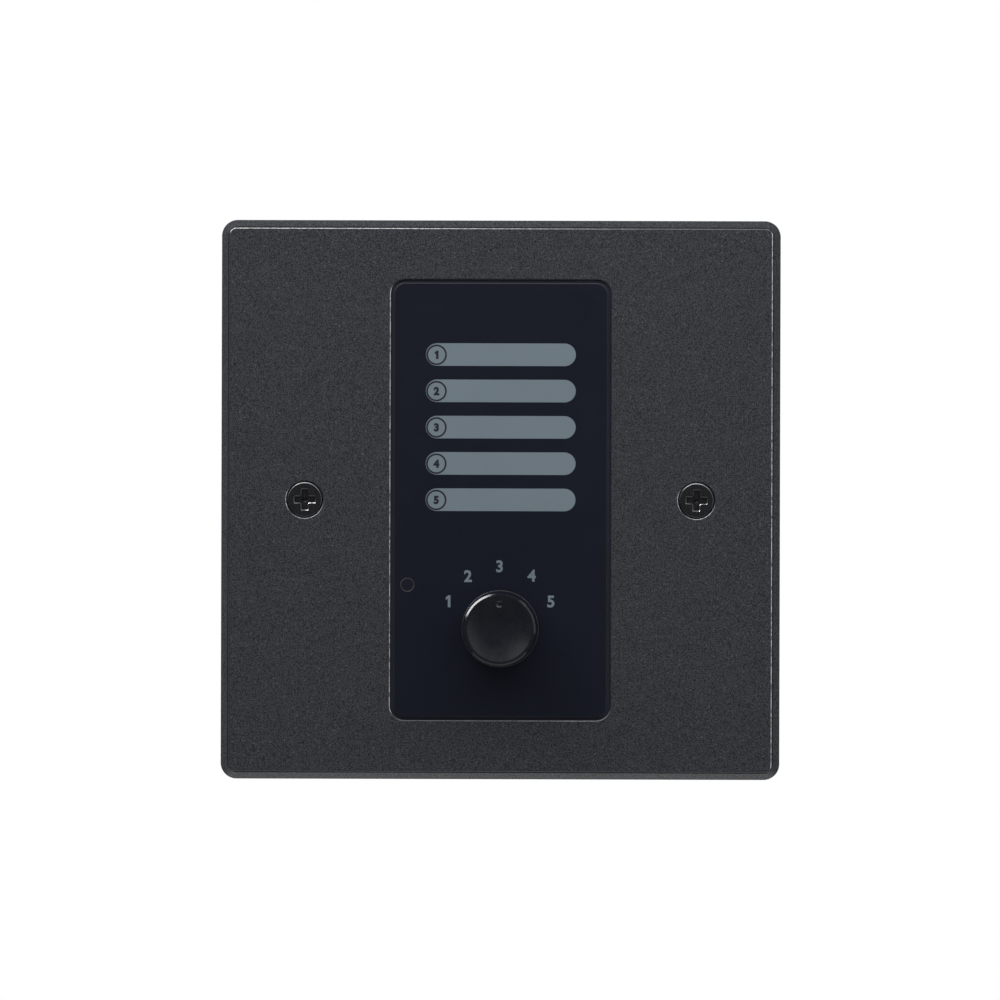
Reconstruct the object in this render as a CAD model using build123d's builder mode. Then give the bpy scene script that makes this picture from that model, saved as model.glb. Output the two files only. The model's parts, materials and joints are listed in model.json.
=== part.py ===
from build123d import *
import os
from math import asin, cos, degrees, radians, sin, sqrt

# Square audio wall controller. A moulded wall plate holds a tall control panel with five label
# strips and a selector knob. Behind the panel a rotary switch stands on a circuit board with two
# data sockets. Lengths are millimetres, angles are degrees.
# The origin is the middle of the wall plane. X runs right as seen from the room, Z runs up and the
# front faces -Y. A height is measured out of the wall, so what lies in the wall has a negative one.

# Cuts that open a face run past it by this much
overrun = 1.0

# Wall plate
plate_size = 86.0
plate_height = 7.0
plate_corner_r = 2.45
plate_front_wall = 2.0
plate_side_wall = 2.0
rim_bevel_width = 1.0
rim_bevel_height = 1.3
rim_ledge = 0.15
field_step = 0.4
field_corner_r = 1.1
field_edge_r = 0.25
locating_rib = 1.0
locating_gap = 0.3
stiffening_rib = 1.0
rib_row_z = 11.0
rib_column_x = 12.0

# Opening for the panel
opening_width = 33.8
opening_end_margin = 9.15
opening_corner_r = 2.15
opening_edge_r = 0.25

# Fixing screws. Their margin puts them at the 60.3 centres of a single wall box
fixing_edge_margin = 12.85
fixing_thread_r = 1.75
fixing_neck_r = 1.5
fixing_reach = 25.0
fixing_tip_chamfer = 0.5
fixing_head_r = 2.72
fixing_head_height = 2.0
fixing_head_edge_r = 0.3
fixing_slot_span = 3.24
fixing_slot_width = 1.04
fixing_slot_depth = 1.1
fixing_hole_r = 2.0
fixing_boss_r = 4.0
recess_r = 2.825
recess_depth = 2.1
recess_edge_r = 0.2

# Control panel
panel_gap = 0.42
panel_corner_r = 1.75
panel_edge_r = 0.2
panel_front_wall = 2.0
flange_lip = 3.3
flange_thickness = 1.5
flange_corner_r = 2.0
skirt_inset = 1.2
skirt_wall = 1.4
skirt_depth = 3.0
skirt_corner_r = 2.0
panel_rib = 1.2
panel_rib_depth = 2.0
panel_rib_z = 7.0
panel_rib_spacing = 11.0
post_r = 2.1
post_inset = 1.2
post_pilot_depth = 6.0
sight_edge_margin = 2.18
sight_rise = 6.7
sight_r = 1.08
sight_depth = 0.8

# Overlay film and label strips
overlay_thickness = 0.25
overlay_proud = 0.2
overlay_margin = 0.2
overlay_corner_r = 1.55
label_length = 23.07
label_height = 3.48
label_gap = 0.03
label_end_margin = 11.07
label_pitch_share = 0.0835

# Clamping bracket and its screws
bracket_thickness = 1.2
bracket_gap = 0.4
bracket_lip = 8.8
bracket_corner_r = 3.0
bracket_bend_r = 0.6
ear_height = 13.0
ear_end = 5.0
ear_slot_length = 6.0
ear_slot_width = 4.4
fold_start = 9.0
fold_end_margin = 5.15
fold_height = 2.0
clamp_offset = 4.2
clamp_end_margin = 10.15
clamp_boss_r = 2.6
clamp_pilot_depth = 2.4
clamp_thread_r = 1.2
clamp_thread_length = 3.4
clamp_head_r = 2.1
clamp_head_height = 1.3
clamp_hole_gap = 0.3

# Circuit board and its screws
board_thickness = 1.6
board_inset = 1.5
board_corner_r = 1.0
board_hole_gap = 0.15
tapping_gap = 0.05
board_screw_r = 1.05
board_screw_length = 6.5
board_head_r = 2.0
board_head_height = 1.4
screw_head_edge_r = 0.3
screw_tip_chamfer = 0.3
screw_slot_span = 2.4
screw_slot_width = 0.7
screw_slot_depth = 0.8

# Selector positions and turning limits
knob_end_margin = 13.63
positions = 5
position_pitch = 30.0
turn_limit = position_pitch * (positions - 1) / 2

# Rotary switch
switch_clearance = 0.45
housing_size = 16.0
housing_depth = 5.0
housing_corner_r = 1.5
housing_wall = 1.7
bush_plate_thickness = 1.2
bush_r = 3.5
bush_proud = 2.2
bush_hole_gap = 0.25
overlay_hole_gap = 0.5
running_gap = 0.03
tab_width = 4.0
tab_thickness = 0.5
tab_gap = 0.05
tab_foot = 1.0
tab_foot_thickness = 0.4
wafer_thickness = 1.2
shaft_r = 3.0
tail_share = 0.5
tail_flat_share = 0.78
shaft_tail_rise = 0.2
shaft_flat = 1.5
shaft_end_chamfer = 0.4
shaft_end_gap = 0.4
groove_r = 2.5
groove_width = 0.6
clip_outer_r = 3.9
clip_thickness = 0.5
clip_gap = 0.1
clip_mouth = 3.6
rotor_side_gap = 0.7
rotor_front_gap = 0.3
rotor_back_gap = 0.6
detent_count = 12
detent_angle = 45.0
detent_offset = 0.5
detent_share = 0.18
detent_depth = 2.5
spring_thickness = 0.2
spring_tip_gap = 0.15
spring_bump_r = 0.75
spring_half_span = 2.2
spring_lift = 1.35
spring_height = 2.3
spring_end_gap = 0.12
stop_width = 2.4
stop_height = 1.4
stop_gap = 0.15
stop_play = 0.8
wiper_thickness = 0.2
wiper_width = 1.6
wiper_end_margin = 0.6
wiper_bump_r = 0.5
wiper_contact_gap = 0.05
stake_r = 0.4
stake_margin = 1.4
stake_gap = 0.05
stake_length = 0.35
terminal_margin = 1.0
terminal_r = 0.45
terminal_head_share = 0.195
terminal_head_height = 0.3
terminal_gap = 0.06
terminal_tail = 1.3

# Knob
knob_gap = 0.7
knob_length = 11.7
knob_base_r = 5.87
knob_front_r = 5.56
knob_bevel_width = 0.28
knob_bevel_height = 0.22
knob_dish_r = 4.95
knob_dish_depth = 0.75
knob_dish_edge_r = 0.2
knob_recess_r = 4.4
knob_recess_depth = 3.0
knob_bore_gap = 0.02
knob_front_wall = 1.2
pointer_r = 0.58
pointer_depth = 0.22
pointer_rise = 3.83
knob_spring_thickness = 0.3
knob_spring_width = 3.4
knob_spring_length = 5.0
knob_spring_gap = 0.025

# Data sockets
socket_end_gap = 2.53
socket_gap = 1.3
socket_width = 15.4
socket_side = 13.2
socket_height = 16.0
socket_corner_r = 0.6
plug_width = 11.9
plug_side = 6.9
plug_shift = -0.15
plug_depth = 12.2
latch_width = 6.3
latch_rise = 1.4
latch_slot_width = 3.3
latch_slot_rise = 1.0
comb_depth = 0.75
comb_margin = 0.7
peg_r = 1.5
peg_span = 11.4
peg_end = 0.5
peg_side = 1.5
contact_count = 8
contact_spacing = 1.02
contact_width = 0.4
contact_thickness = 0.3
contact_hole_r = 0.33
contact_tail = 0.4
contact_bend_inset = 2.2
contact_bend_r = 0.35
contact_bend_width = 1.0
contact_reach = 2.3
contact_drop = 6.0

# Resistors of the position ladder
resistor_drop = 6.1
resistor_spacing = 3.2
resistor_length = 6.2
resistor_end_length = 1.4
resistor_end_r = 1.2
resistor_waist_r = 1.0
resistor_edge_r = 0.3
resistor_lift = 0.3
lead_r = 0.28
lead_span = 9.2
lead_bend_r = 0.9
lead_tail = 0.3
lead_hole_gap = 0.1

# Sizes and heights that follow from the ones above
rim_top = plate_height - field_step
field_size = plate_size - 2 * (rim_bevel_width + rim_ledge)
inner_height = plate_height - plate_front_wall
cavity_size = plate_size - 2 * plate_side_wall
cavity_corner_r = plate_corner_r / 2
seat_height = inner_height - flange_thickness
recess_floor = plate_height - recess_depth
fixing_spacing = plate_size - 2 * fixing_edge_margin

opening_height = plate_size - 2 * opening_end_margin
panel_width = opening_width - 2 * panel_gap
panel_tall = opening_height - 2 * panel_gap
overlay_front = plate_height + overlay_proud
panel_face = overlay_front - overlay_thickness
panel_inner = panel_face - panel_front_wall
flange_width = opening_width + 2 * flange_lip
flange_tall = opening_height + 2 * flange_lip
skirt_width = panel_width - 2 * skirt_inset
skirt_tall = panel_tall - 2 * skirt_inset
skirt_back = seat_height - skirt_depth
hollow_width = skirt_width - 2 * skirt_wall
hollow_tall = skirt_tall - 2 * skirt_wall
post_x = hollow_width / 2 - post_inset
post_z = hollow_tall / 2 - post_inset
frame_inner_width = flange_width + 2 * locating_gap
frame_inner_tall = flange_tall + 2 * locating_gap
frame_width = frame_inner_width + 2 * locating_rib
frame_tall = frame_inner_tall + 2 * locating_rib

bracket_back = seat_height - bracket_thickness
bracket_width = flange_width + 2 * bracket_lip
clamp_x = flange_width / 2 + clamp_offset
clamp_z = flange_tall / 2 - clamp_end_margin
fold_length = flange_tall / 2 - fold_start - fold_end_margin
label_top_z = panel_tall / 2 - label_end_margin
label_rows = [label_top_z - label_pitch_share * panel_tall * row for row in range(positions)]
knob_z = knob_end_margin - panel_tall / 2
sight_x = sight_edge_margin - panel_width / 2
sight_z = knob_z + sight_rise

bush_plate_front = panel_inner - switch_clearance
housing_front = bush_plate_front - bush_plate_thickness
housing_back = housing_front - housing_depth
wafer_back = housing_back - wafer_thickness
board_front = wafer_back - tab_foot_thickness
board_back = board_front - board_thickness
board_width = panel_width - 2 * board_inset
board_tall = panel_tall - 2 * board_inset
bush_end = overlay_front + bush_proud
cavity_r = housing_size / 2 - housing_wall
rotor_r = cavity_r - rotor_side_gap
detent_centre_r = rotor_r + detent_offset
detent_r = detent_share * rotor_r
tail_r = tail_share * rotor_r
tail_flats = 2 * tail_flat_share * tail_r
wiper_wing = rotor_r - wiper_end_margin
stake_x = rotor_r - stake_margin
terminal_circle_r = rotor_r - terminal_margin
terminal_head_r = terminal_head_share * terminal_circle_r
rotor_front = housing_front - rotor_front_gap
rotor_back = housing_back + rotor_back_gap
wiper_back = rotor_back - wiper_thickness
shaft_tail = rotor_back + shaft_tail_rise
groove_back = bush_end + clip_gap - (groove_width - clip_thickness) / 2

knob_back = overlay_front + knob_gap
knob_front = knob_back + knob_length
knob_seat = knob_back + knob_recess_depth
knob_bore_end = knob_front - knob_dish_depth - knob_front_wall
shaft_end = knob_bore_end - shaft_end_gap
dish_sphere_r = (knob_dish_r**2 + knob_dish_depth**2) / (2 * knob_dish_depth)
pointer_sphere_r = (pointer_r**2 + pointer_depth**2) / (2 * pointer_depth)
dish_centre = knob_front - knob_dish_depth + dish_sphere_r
pointer_floor = dish_centre - sqrt(dish_sphere_r**2 - pointer_rise**2)

spring_tip_r = detent_centre_r - detent_r + spring_tip_gap + spring_thickness / 2
spring_shoulder_r = spring_tip_r + spring_bump_r
spring_end_r = spring_shoulder_r + spring_lift
stop_inner_r = rotor_r + stop_gap
lug_outer_r = cavity_r - stop_gap
stop_angle = turn_limit + 2 * degrees(asin(stop_width / 2 / stop_inner_r)) + stop_play

upper_socket_z = board_tall / 2 - socket_end_gap - socket_side / 2
lower_socket_z = upper_socket_z - socket_side - socket_gap
socket_rows = {"upper": upper_socket_z, "lower": lower_socket_z}
socket_mouth = board_back - socket_height
plug_top = plug_shift + plug_side / 2
plug_bottom = plug_shift - plug_side / 2
comb_width = contact_spacing * (contact_count - 1) + contact_width + 2 * comb_margin
contact_side = plug_bottom - comb_depth / 2
contact_bend = socket_mouth + contact_bend_inset
resistor_z = knob_z - resistor_drop
resistor_axis = resistor_end_r + resistor_lift


def front(height):
    """Plane parallel to the wall at a height, seen from the room."""
    return Plane.XZ.offset(height)


def dial(height, turn=0):
    """Plane parallel to the wall at a height, centred on the knob's axis and turned about it."""
    across = (cos(radians(turn)), 0, sin(radians(turn)))
    return Plane(origin=(0, -height, knob_z), x_dir=across, z_dir=(0, -1, 0))


def detent(height):
    """Plane like dial, turned so that its Y runs out from the axis to the detent spring."""
    return dial(height, detent_angle - 90)


def socket_face(height, row_z):
    """Plane parallel to the wall at a height, centred on a data socket."""
    return Plane(origin=(0, -height, row_z), x_dir=(1, 0, 0), z_dir=(0, -1, 0))


def facing_back(height):
    """Plane parallel to the wall at a height, seen from inside the wall."""
    return Plane(origin=(0, -height, 0), x_dir=(-1, 0, 0), z_dir=(0, 1, 0))


def cross_head_screw(head, shank, slot, edge_r, tip_chamfer):
    """Screw along Z with its head above the XY plane, from (radius, length) steps of its shank."""
    head_r, head_height = head
    outline = [(0, head_height), (head_r, head_height), (head_r, 0)]
    depth = 0
    for radius, length in shank:
        outline.append((radius, -depth))
        depth += length
        outline.append((radius, -depth))
    outline.append((0, -depth))
    slot_span, slot_width, slot_depth = slot
    with BuildPart() as screw:
        with BuildSketch(Plane.XZ):
            with BuildLine():
                Polyline(*outline, close=True)
            make_face()
        revolve(axis=Axis.Z)
        fillet(screw.edges().group_by(Axis.Z)[-1], edge_r)
        chamfer(screw.edges().group_by(Axis.Z)[0], tip_chamfer)
        with BuildSketch(Plane.XY.offset(head_height)):
            Rectangle(slot_span, slot_width)
            Rectangle(slot_width, slot_span)
        extrude(amount=-slot_depth, mode=Mode.SUBTRACT)
    return screw.part


def keep(piece, name):
    """Name a finished piece and write it to its own file."""
    piece.part.label = name
    export_step(piece.part, f"parts/{name}.step")


os.makedirs("parts", exist_ok=True)

# Wall plate: bevelled rim, raised field, hollow back with a locating frame, bosses and ribs
with BuildPart() as wall_plate:
    with BuildSketch(front(0)):
        RectangleRounded(plate_size, plate_size, plate_corner_r)
    extrude(amount=rim_top)
    rim_face = wall_plate.faces().sort_by(Axis.Y)[0]
    chamfer(rim_face.edges(), rim_bevel_width, rim_bevel_height, reference=rim_face)
    with BuildSketch(front(rim_top)):
        RectangleRounded(field_size, field_size, field_corner_r)
    extrude(amount=field_step)
    fillet(wall_plate.faces().sort_by(Axis.Y)[0].edges(), field_edge_r)
    with BuildSketch(front(0)):
        RectangleRounded(cavity_size, cavity_size, cavity_corner_r)
    extrude(amount=inner_height, mode=Mode.SUBTRACT)
    side_rib = (cavity_size - frame_width) / 2 + locating_rib
    end_rib = (cavity_size - frame_tall) / 2 + locating_rib
    with BuildSketch(front(seat_height)):
        RectangleRounded(frame_width, frame_tall, flange_corner_r + locating_rib)
        with GridLocations(cavity_size - side_rib, 2 * rib_row_z, 2, 2):
            Rectangle(side_rib, stiffening_rib)
        with GridLocations(cavity_size - side_rib, 2 * clamp_z, 2, 2):
            Rectangle(side_rib, stiffening_rib)
        with GridLocations(2 * rib_column_x, cavity_size - end_rib, 2, 2):
            Rectangle(stiffening_rib, end_rib)
        with GridLocations(fixing_spacing, 0, 2, 1):
            Circle(fixing_boss_r)
        with GridLocations(2 * clamp_x, 2 * clamp_z, 2, 2):
            Circle(clamp_boss_r)
        RectangleRounded(frame_inner_width, frame_inner_tall, flange_corner_r, mode=Mode.SUBTRACT)
    extrude(amount=inner_height - seat_height)
    with BuildSketch(front(0)):
        RectangleRounded(opening_width, opening_height, opening_corner_r)
    extrude(amount=plate_height + overrun, mode=Mode.SUBTRACT)
    fillet(wall_plate.faces().sort_by(Axis.Y)[0].inner_wires()[0].edges(), opening_edge_r)
    with Locations(front(plate_height)):
        with GridLocations(fixing_spacing, 0, 2, 1):
            CounterBoreHole(fixing_hole_r, recess_r, recess_depth)
    full_circles = wall_plate.edges().filter_by(lambda edge: edge.is_closed)
    fillet(full_circles.group_by(Axis.Y)[0], recess_edge_r)
    with Locations(facing_back(seat_height)):
        with GridLocations(2 * clamp_x, 2 * clamp_z, 2, 2):
            Hole(clamp_thread_r + tapping_gap, clamp_pilot_depth)
keep(wall_plate, "wall_plate")

# Fixing screws: a plain neck in the plate and the thread behind the wall plane
fixing_screw = cross_head_screw(
    head=(fixing_head_r, fixing_head_height),
    shank=((fixing_neck_r, recess_floor), (fixing_thread_r, fixing_reach)),
    slot=(fixing_slot_span, fixing_slot_width, fixing_slot_depth),
    edge_r=fixing_head_edge_r,
    tip_chamfer=fixing_tip_chamfer,
)
with BuildPart() as plate_screws:
    with Locations(front(recess_floor)):
        with GridLocations(fixing_spacing, 0, 2, 1):
            add(fixing_screw)
keep(plate_screws, "plate_screws")

# Control panel: front wall in the opening, flange behind the plate, skirt, ribs and board posts
with BuildPart() as control_panel:
    with BuildSketch(front(inner_height)):
        RectangleRounded(panel_width, panel_tall, panel_corner_r)
    extrude(amount=panel_face - inner_height)
    fillet(control_panel.faces().sort_by(Axis.Y)[0].edges(), panel_edge_r)
    with BuildSketch(front(seat_height)):
        RectangleRounded(flange_width, flange_tall, flange_corner_r)
    extrude(amount=flange_thickness)
    with BuildSketch(front(skirt_back)):
        RectangleRounded(skirt_width, skirt_tall, skirt_corner_r)
    extrude(amount=skirt_depth)
    with BuildSketch(front(skirt_back)):
        RectangleRounded(hollow_width, hollow_tall, skirt_corner_r / 2)
    extrude(amount=panel_inner - skirt_back, mode=Mode.SUBTRACT)
    with BuildSketch(front(panel_inner)):
        with Locations((0, panel_rib_z + panel_rib_spacing / 2)):
            with GridLocations(0, panel_rib_spacing, 1, 2):
                Rectangle(hollow_width, panel_rib)
    extrude(amount=-panel_rib_depth)
    with BuildSketch(front(board_front)):
        with GridLocations(2 * post_x, 2 * post_z, 2, 2):
            Circle(post_r)
    extrude(amount=panel_inner - board_front)
    with Locations(facing_back(board_front)):
        with GridLocations(2 * post_x, 2 * post_z, 2, 2):
            Hole(board_screw_r + tapping_gap, post_pilot_depth)
    with BuildSketch(dial(panel_inner)):
        Circle(bush_r + bush_hole_gap)
    extrude(amount=panel_front_wall + overrun, mode=Mode.SUBTRACT)
    with BuildSketch(front(panel_face)):
        with Locations((sight_x, sight_z)):
            Circle(sight_r)
    extrude(amount=-sight_depth, mode=Mode.SUBTRACT)
keep(control_panel, "control_panel")

# Overlay: thin film with windows for the label strips, the bush and the small round recess
with BuildPart() as graphic_overlay:
    with BuildSketch(front(panel_face)):
        RectangleRounded(panel_width - 2 * overlay_margin, panel_tall - 2 * overlay_margin, overlay_corner_r)
        with Locations(*[(0, row_z) for row_z in label_rows]):
            SlotOverall(label_length + 2 * label_gap, label_height + 2 * label_gap, mode=Mode.SUBTRACT)
        with Locations((0, knob_z)):
            Circle(bush_r + overlay_hole_gap, mode=Mode.SUBTRACT)
        with Locations((sight_x, sight_z)):
            Circle(sight_r, mode=Mode.SUBTRACT)
    extrude(amount=overlay_thickness)
keep(graphic_overlay, "graphic_overlay")

# Label strips: five blank strips, flush in the windows of the film
for number, row_z in enumerate(label_rows, start=1):
    with BuildPart() as label_strip:
        with BuildSketch(front(panel_face)):
            with Locations((0, row_z)):
                SlotOverall(label_length, label_height)
        extrude(amount=overlay_thickness)
    keep(label_strip, f"label_strip_{number}")

# Clamping bracket: stamped frame with slotted ears for the fixing screws and four folded edges
with BuildPart() as mounting_bracket:
    with BuildSketch(front(bracket_back)):
        RectangleRounded(bracket_width, flange_tall, bracket_corner_r)
        RectangleRounded(fixing_spacing + 2 * ear_end, ear_height, bracket_corner_r)
        Rectangle(skirt_width + 2 * bracket_gap, skirt_tall + 2 * bracket_gap, mode=Mode.SUBTRACT)
        with GridLocations(fixing_spacing, 0, 2, 1):
            SlotOverall(ear_slot_length, ear_slot_width, mode=Mode.SUBTRACT)
        with GridLocations(2 * clamp_x, 2 * clamp_z, 2, 2):
            Circle(clamp_thread_r + clamp_hole_gap, mode=Mode.SUBTRACT)
    extrude(amount=bracket_thickness)
    with BuildSketch(front(bracket_back)):
        with GridLocations(bracket_width - bracket_thickness, 2 * fold_start + fold_length, 2, 2):
            Rectangle(bracket_thickness, fold_length)
    extrude(amount=-fold_height)
    bends = mounting_bracket.edges().filter_by(Axis.Z).filter_by(
        lambda edge: edge.is_interior
    )
    fillet(bends.group_by(Axis.Y)[0], bracket_bend_r)
keep(mounting_bracket, "mounting_bracket")

# Bracket screws
small_slot = (screw_slot_span, screw_slot_width, screw_slot_depth)
clamp_screw = cross_head_screw(
    head=(clamp_head_r, clamp_head_height),
    shank=((clamp_thread_r, clamp_thread_length),),
    slot=small_slot,
    edge_r=screw_head_edge_r,
    tip_chamfer=screw_tip_chamfer,
)
with BuildPart() as bracket_screws:
    with Locations(facing_back(bracket_back)):
        with GridLocations(2 * clamp_x, 2 * clamp_z, 2, 2):
            add(clamp_screw)
keep(bracket_screws, "bracket_screws")

# Circuit board with its screw holes and the holes for every pin
with BuildPart() as circuit_board:
    with BuildSketch(front(board_back)):
        RectangleRounded(board_width, board_tall, board_corner_r)
        with GridLocations(2 * post_x, 2 * post_z, 2, 2):
            Circle(board_screw_r + board_hole_gap, mode=Mode.SUBTRACT)
        with Locations((0, knob_z)):
            Circle(terminal_r + terminal_gap, mode=Mode.SUBTRACT)
            with PolarLocations(terminal_circle_r, positions, 90 - turn_limit, positions * position_pitch):
                Circle(terminal_r + terminal_gap, mode=Mode.SUBTRACT)
        for row_z in socket_rows.values():
            with Locations((0, row_z + peg_side)):
                with GridLocations(peg_span, 0, 2, 1):
                    Circle(peg_r + board_hole_gap, mode=Mode.SUBTRACT)
            with Locations((0, row_z + contact_side)):
                with GridLocations(contact_spacing, 0, contact_count, 1):
                    Circle(contact_hole_r, mode=Mode.SUBTRACT)
        with Locations((0, resistor_z)):
            with GridLocations(resistor_spacing, lead_span, positions, 2):
                Circle(lead_r + lead_hole_gap, mode=Mode.SUBTRACT)
    extrude(amount=board_thickness)
keep(circuit_board, "circuit_board")

# Board screws
board_screw = cross_head_screw(
    head=(board_head_r, board_head_height),
    shank=((board_screw_r, board_screw_length),),
    slot=small_slot,
    edge_r=screw_head_edge_r,
    tip_chamfer=screw_tip_chamfer,
)
with BuildPart() as board_screws:
    with Locations(facing_back(board_back)):
        with GridLocations(2 * post_x, 2 * post_z, 2, 2):
            add(board_screw)
keep(board_screws, "board_screws")

# Switch bush: front plate with the shaft's bearing and two tabs folded under the wafer
with BuildPart() as switch_bushing:
    tab_x = housing_size / 2 + tab_gap + tab_thickness / 2
    with BuildSketch(dial(housing_front)):
        RectangleRounded(housing_size, housing_size, housing_corner_r)
        Rectangle(2 * tab_x + tab_thickness, tab_width)
    extrude(amount=bush_plate_thickness)
    with BuildSketch(dial(board_front)):
        with GridLocations(2 * tab_x, 0, 2, 1):
            Rectangle(tab_thickness, tab_width)
    extrude(amount=housing_front - board_front)
    with BuildSketch(dial(board_front)):
        with GridLocations(2 * tab_x - tab_foot, 0, 2, 1):
            Rectangle(tab_foot + tab_thickness, tab_width)
    extrude(amount=tab_foot_thickness)
    with BuildSketch(dial(bush_plate_front)):
        Circle(bush_r)
    extrude(amount=bush_end - bush_plate_front)
    with BuildSketch(dial(housing_front)):
        Circle(shaft_r + running_gap)
    extrude(amount=bush_end - housing_front, mode=Mode.SUBTRACT)
keep(switch_bushing, "switch_bushing")

# Switch housing: round cavity, pocket for the detent spring and two stops for the rotor's lug
with BuildPart() as switch_housing:
    with BuildSketch(dial(housing_back)):
        RectangleRounded(housing_size, housing_size, housing_corner_r)
        Circle(cavity_r, mode=Mode.SUBTRACT)
    extrude(amount=housing_depth)
    with BuildSketch(detent(housing_front)):
        pocket_side = spring_end_r + spring_thickness + spring_end_gap
        with Locations((0, pocket_side / 2)):
            Rectangle(2 * (spring_half_span + spring_thickness + spring_end_gap), pocket_side)
    extrude(amount=-(rotor_front_gap + spring_height), mode=Mode.SUBTRACT)
    for side in (-1, 1):
        with BuildSketch(dial(housing_back, side * stop_angle)):
            with Locations((0, -(stop_inner_r + cavity_r + overrun) / 2)):
                Rectangle(stop_width, cavity_r + overrun - stop_inner_r)
        extrude(amount=rotor_back_gap + stop_height)
keep(switch_housing, "switch_housing")

# Detent spring: bent leaf with a round bump that sits in a notch of the rotor
with BuildPart() as detent_spring:
    with BuildSketch(detent(rotor_front)):
        with BuildLine():
            Line((-spring_half_span, spring_end_r), (-spring_bump_r, spring_shoulder_r))
            ThreePointArc(
                (-spring_bump_r, spring_shoulder_r),
                (0, spring_tip_r),
                (spring_bump_r, spring_shoulder_r),
            )
            Line((spring_bump_r, spring_shoulder_r), (spring_half_span, spring_end_r))
        trace(line_width=spring_thickness)
    extrude(amount=-spring_height)
keep(detent_spring, "detent_spring")

# Contact wafer with seats for the terminal heads
with BuildPart() as contact_wafer:
    with BuildSketch(dial(wafer_back)):
        RectangleRounded(housing_size, housing_size, housing_corner_r)
    extrude(amount=wafer_thickness)
    with Locations(dial(housing_back)):
        CounterBoreHole(terminal_r + terminal_gap, terminal_head_r + terminal_gap, terminal_head_height)
        with PolarLocations(terminal_circle_r, positions, 90 - turn_limit, positions * position_pitch):
            CounterBoreHole(terminal_r + terminal_gap, terminal_head_r + terminal_gap, terminal_head_height)
keep(contact_wafer, "contact_wafer")

# Terminals: five position pins and the common pin, headed at the wafer and reaching through the board
terminal_length = housing_back - terminal_head_height - board_back + terminal_tail
with BuildPart() as terminal:
    with BuildSketch(Plane.XY):
        Circle(terminal_head_r)
    extrude(amount=-terminal_head_height)
    with BuildSketch(Plane.XY.offset(-terminal_head_height)):
        Circle(terminal_r)
    extrude(amount=-terminal_length)
with BuildPart() as switch_terminals:
    with Locations(dial(housing_back)):
        add(terminal.part)
        with PolarLocations(terminal_circle_r, positions, 90 - turn_limit, positions * position_pitch):
            add(terminal.part)
keep(switch_terminals, "switch_terminals")

# Switch shaft: a tail with two flats in the rotor, a clip groove and a flat for the knob
with BuildPart() as switch_shaft:
    with BuildSketch(dial(rotor_front + running_gap)):
        Circle(shaft_r)
    extrude(amount=shaft_end - rotor_front - running_gap)
    chamfer(switch_shaft.faces().sort_by(Axis.Y)[0].edges(), shaft_end_chamfer)
    with BuildSketch(dial(groove_back)):
        Circle(shaft_r + overrun)
        Circle(groove_r, mode=Mode.SUBTRACT)
    extrude(amount=groove_width, mode=Mode.SUBTRACT)
    with BuildSketch(dial(knob_seat)):
        with Locations((0, -shaft_flat)):
            Rectangle(2 * shaft_r, shaft_r, align=(Align.CENTER, Align.MAX))
    extrude(amount=shaft_end - knob_seat, mode=Mode.SUBTRACT)
    with BuildSketch(dial(shaft_tail)):
        Circle(tail_r)
        Rectangle(tail_flats, 2 * tail_r, mode=Mode.INTERSECT)
    extrude(amount=rotor_front + running_gap - shaft_tail)
keep(switch_shaft, "switch_shaft")

# Switch rotor: notched disc with a stop lug, a bore for the shaft's flats and stakes for the wiper
with BuildPart() as switch_rotor:
    with BuildSketch(dial(rotor_back)):
        Circle(rotor_r)
    extrude(amount=rotor_front - rotor_back)
    with BuildSketch(dial(rotor_front)):
        with PolarLocations(detent_centre_r, detent_count, detent_angle):
            Circle(detent_r)
    extrude(amount=-detent_depth, mode=Mode.SUBTRACT)
    with BuildSketch(dial(rotor_back)):
        with Locations((0, -lug_outer_r / 2)):
            Rectangle(stop_width, lug_outer_r)
        Circle(lug_outer_r, mode=Mode.INTERSECT)
    extrude(amount=stop_height - stop_gap)
    with BuildSketch(dial(rotor_back)):
        Circle(tail_r + running_gap)
        Rectangle(tail_flats + 2 * running_gap, 2 * cavity_r, mode=Mode.INTERSECT)
    extrude(amount=rotor_front - rotor_back, mode=Mode.SUBTRACT)
    with BuildSketch(dial(rotor_back)):
        with GridLocations(2 * stake_x, 0, 2, 1):
            Circle(stake_r)
    extrude(amount=-stake_length)
keep(switch_rotor, "switch_rotor")

# Wiper: sheet contact staked to the rotor, from the common pin to the pin of the chosen position
with BuildPart() as rotor_contact:
    with BuildSketch(dial(wiper_back)):
        with Locations((0, terminal_circle_r / 2)):
            SlotOverall(terminal_circle_r + wiper_width, wiper_width, rotation=90)
        SlotOverall(2 * wiper_wing, wiper_width)
        with GridLocations(2 * stake_x, 0, 2, 1):
            Circle(stake_r + stake_gap, mode=Mode.SUBTRACT)
    extrude(amount=wiper_thickness)
    with BuildSketch(dial(wiper_back)):
        with Locations((0, 0), (0, terminal_circle_r)):
            Circle(wiper_bump_r)
    extrude(amount=-(wiper_back - housing_back - wiper_contact_gap))
keep(rotor_contact, "rotor_contact")

# Shaft clip: open ring in the groove, against the end of the bush
with BuildPart() as shaft_clip:
    with BuildSketch(dial(bush_end + clip_gap)):
        Circle(clip_outer_r)
        Circle(groove_r + running_gap, mode=Mode.SUBTRACT)
        with Locations((0, -clip_outer_r)):
            Rectangle(clip_mouth, 2 * clip_outer_r, mode=Mode.SUBTRACT)
    extrude(amount=clip_thickness)
keep(shaft_clip, "shaft_clip")

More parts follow.
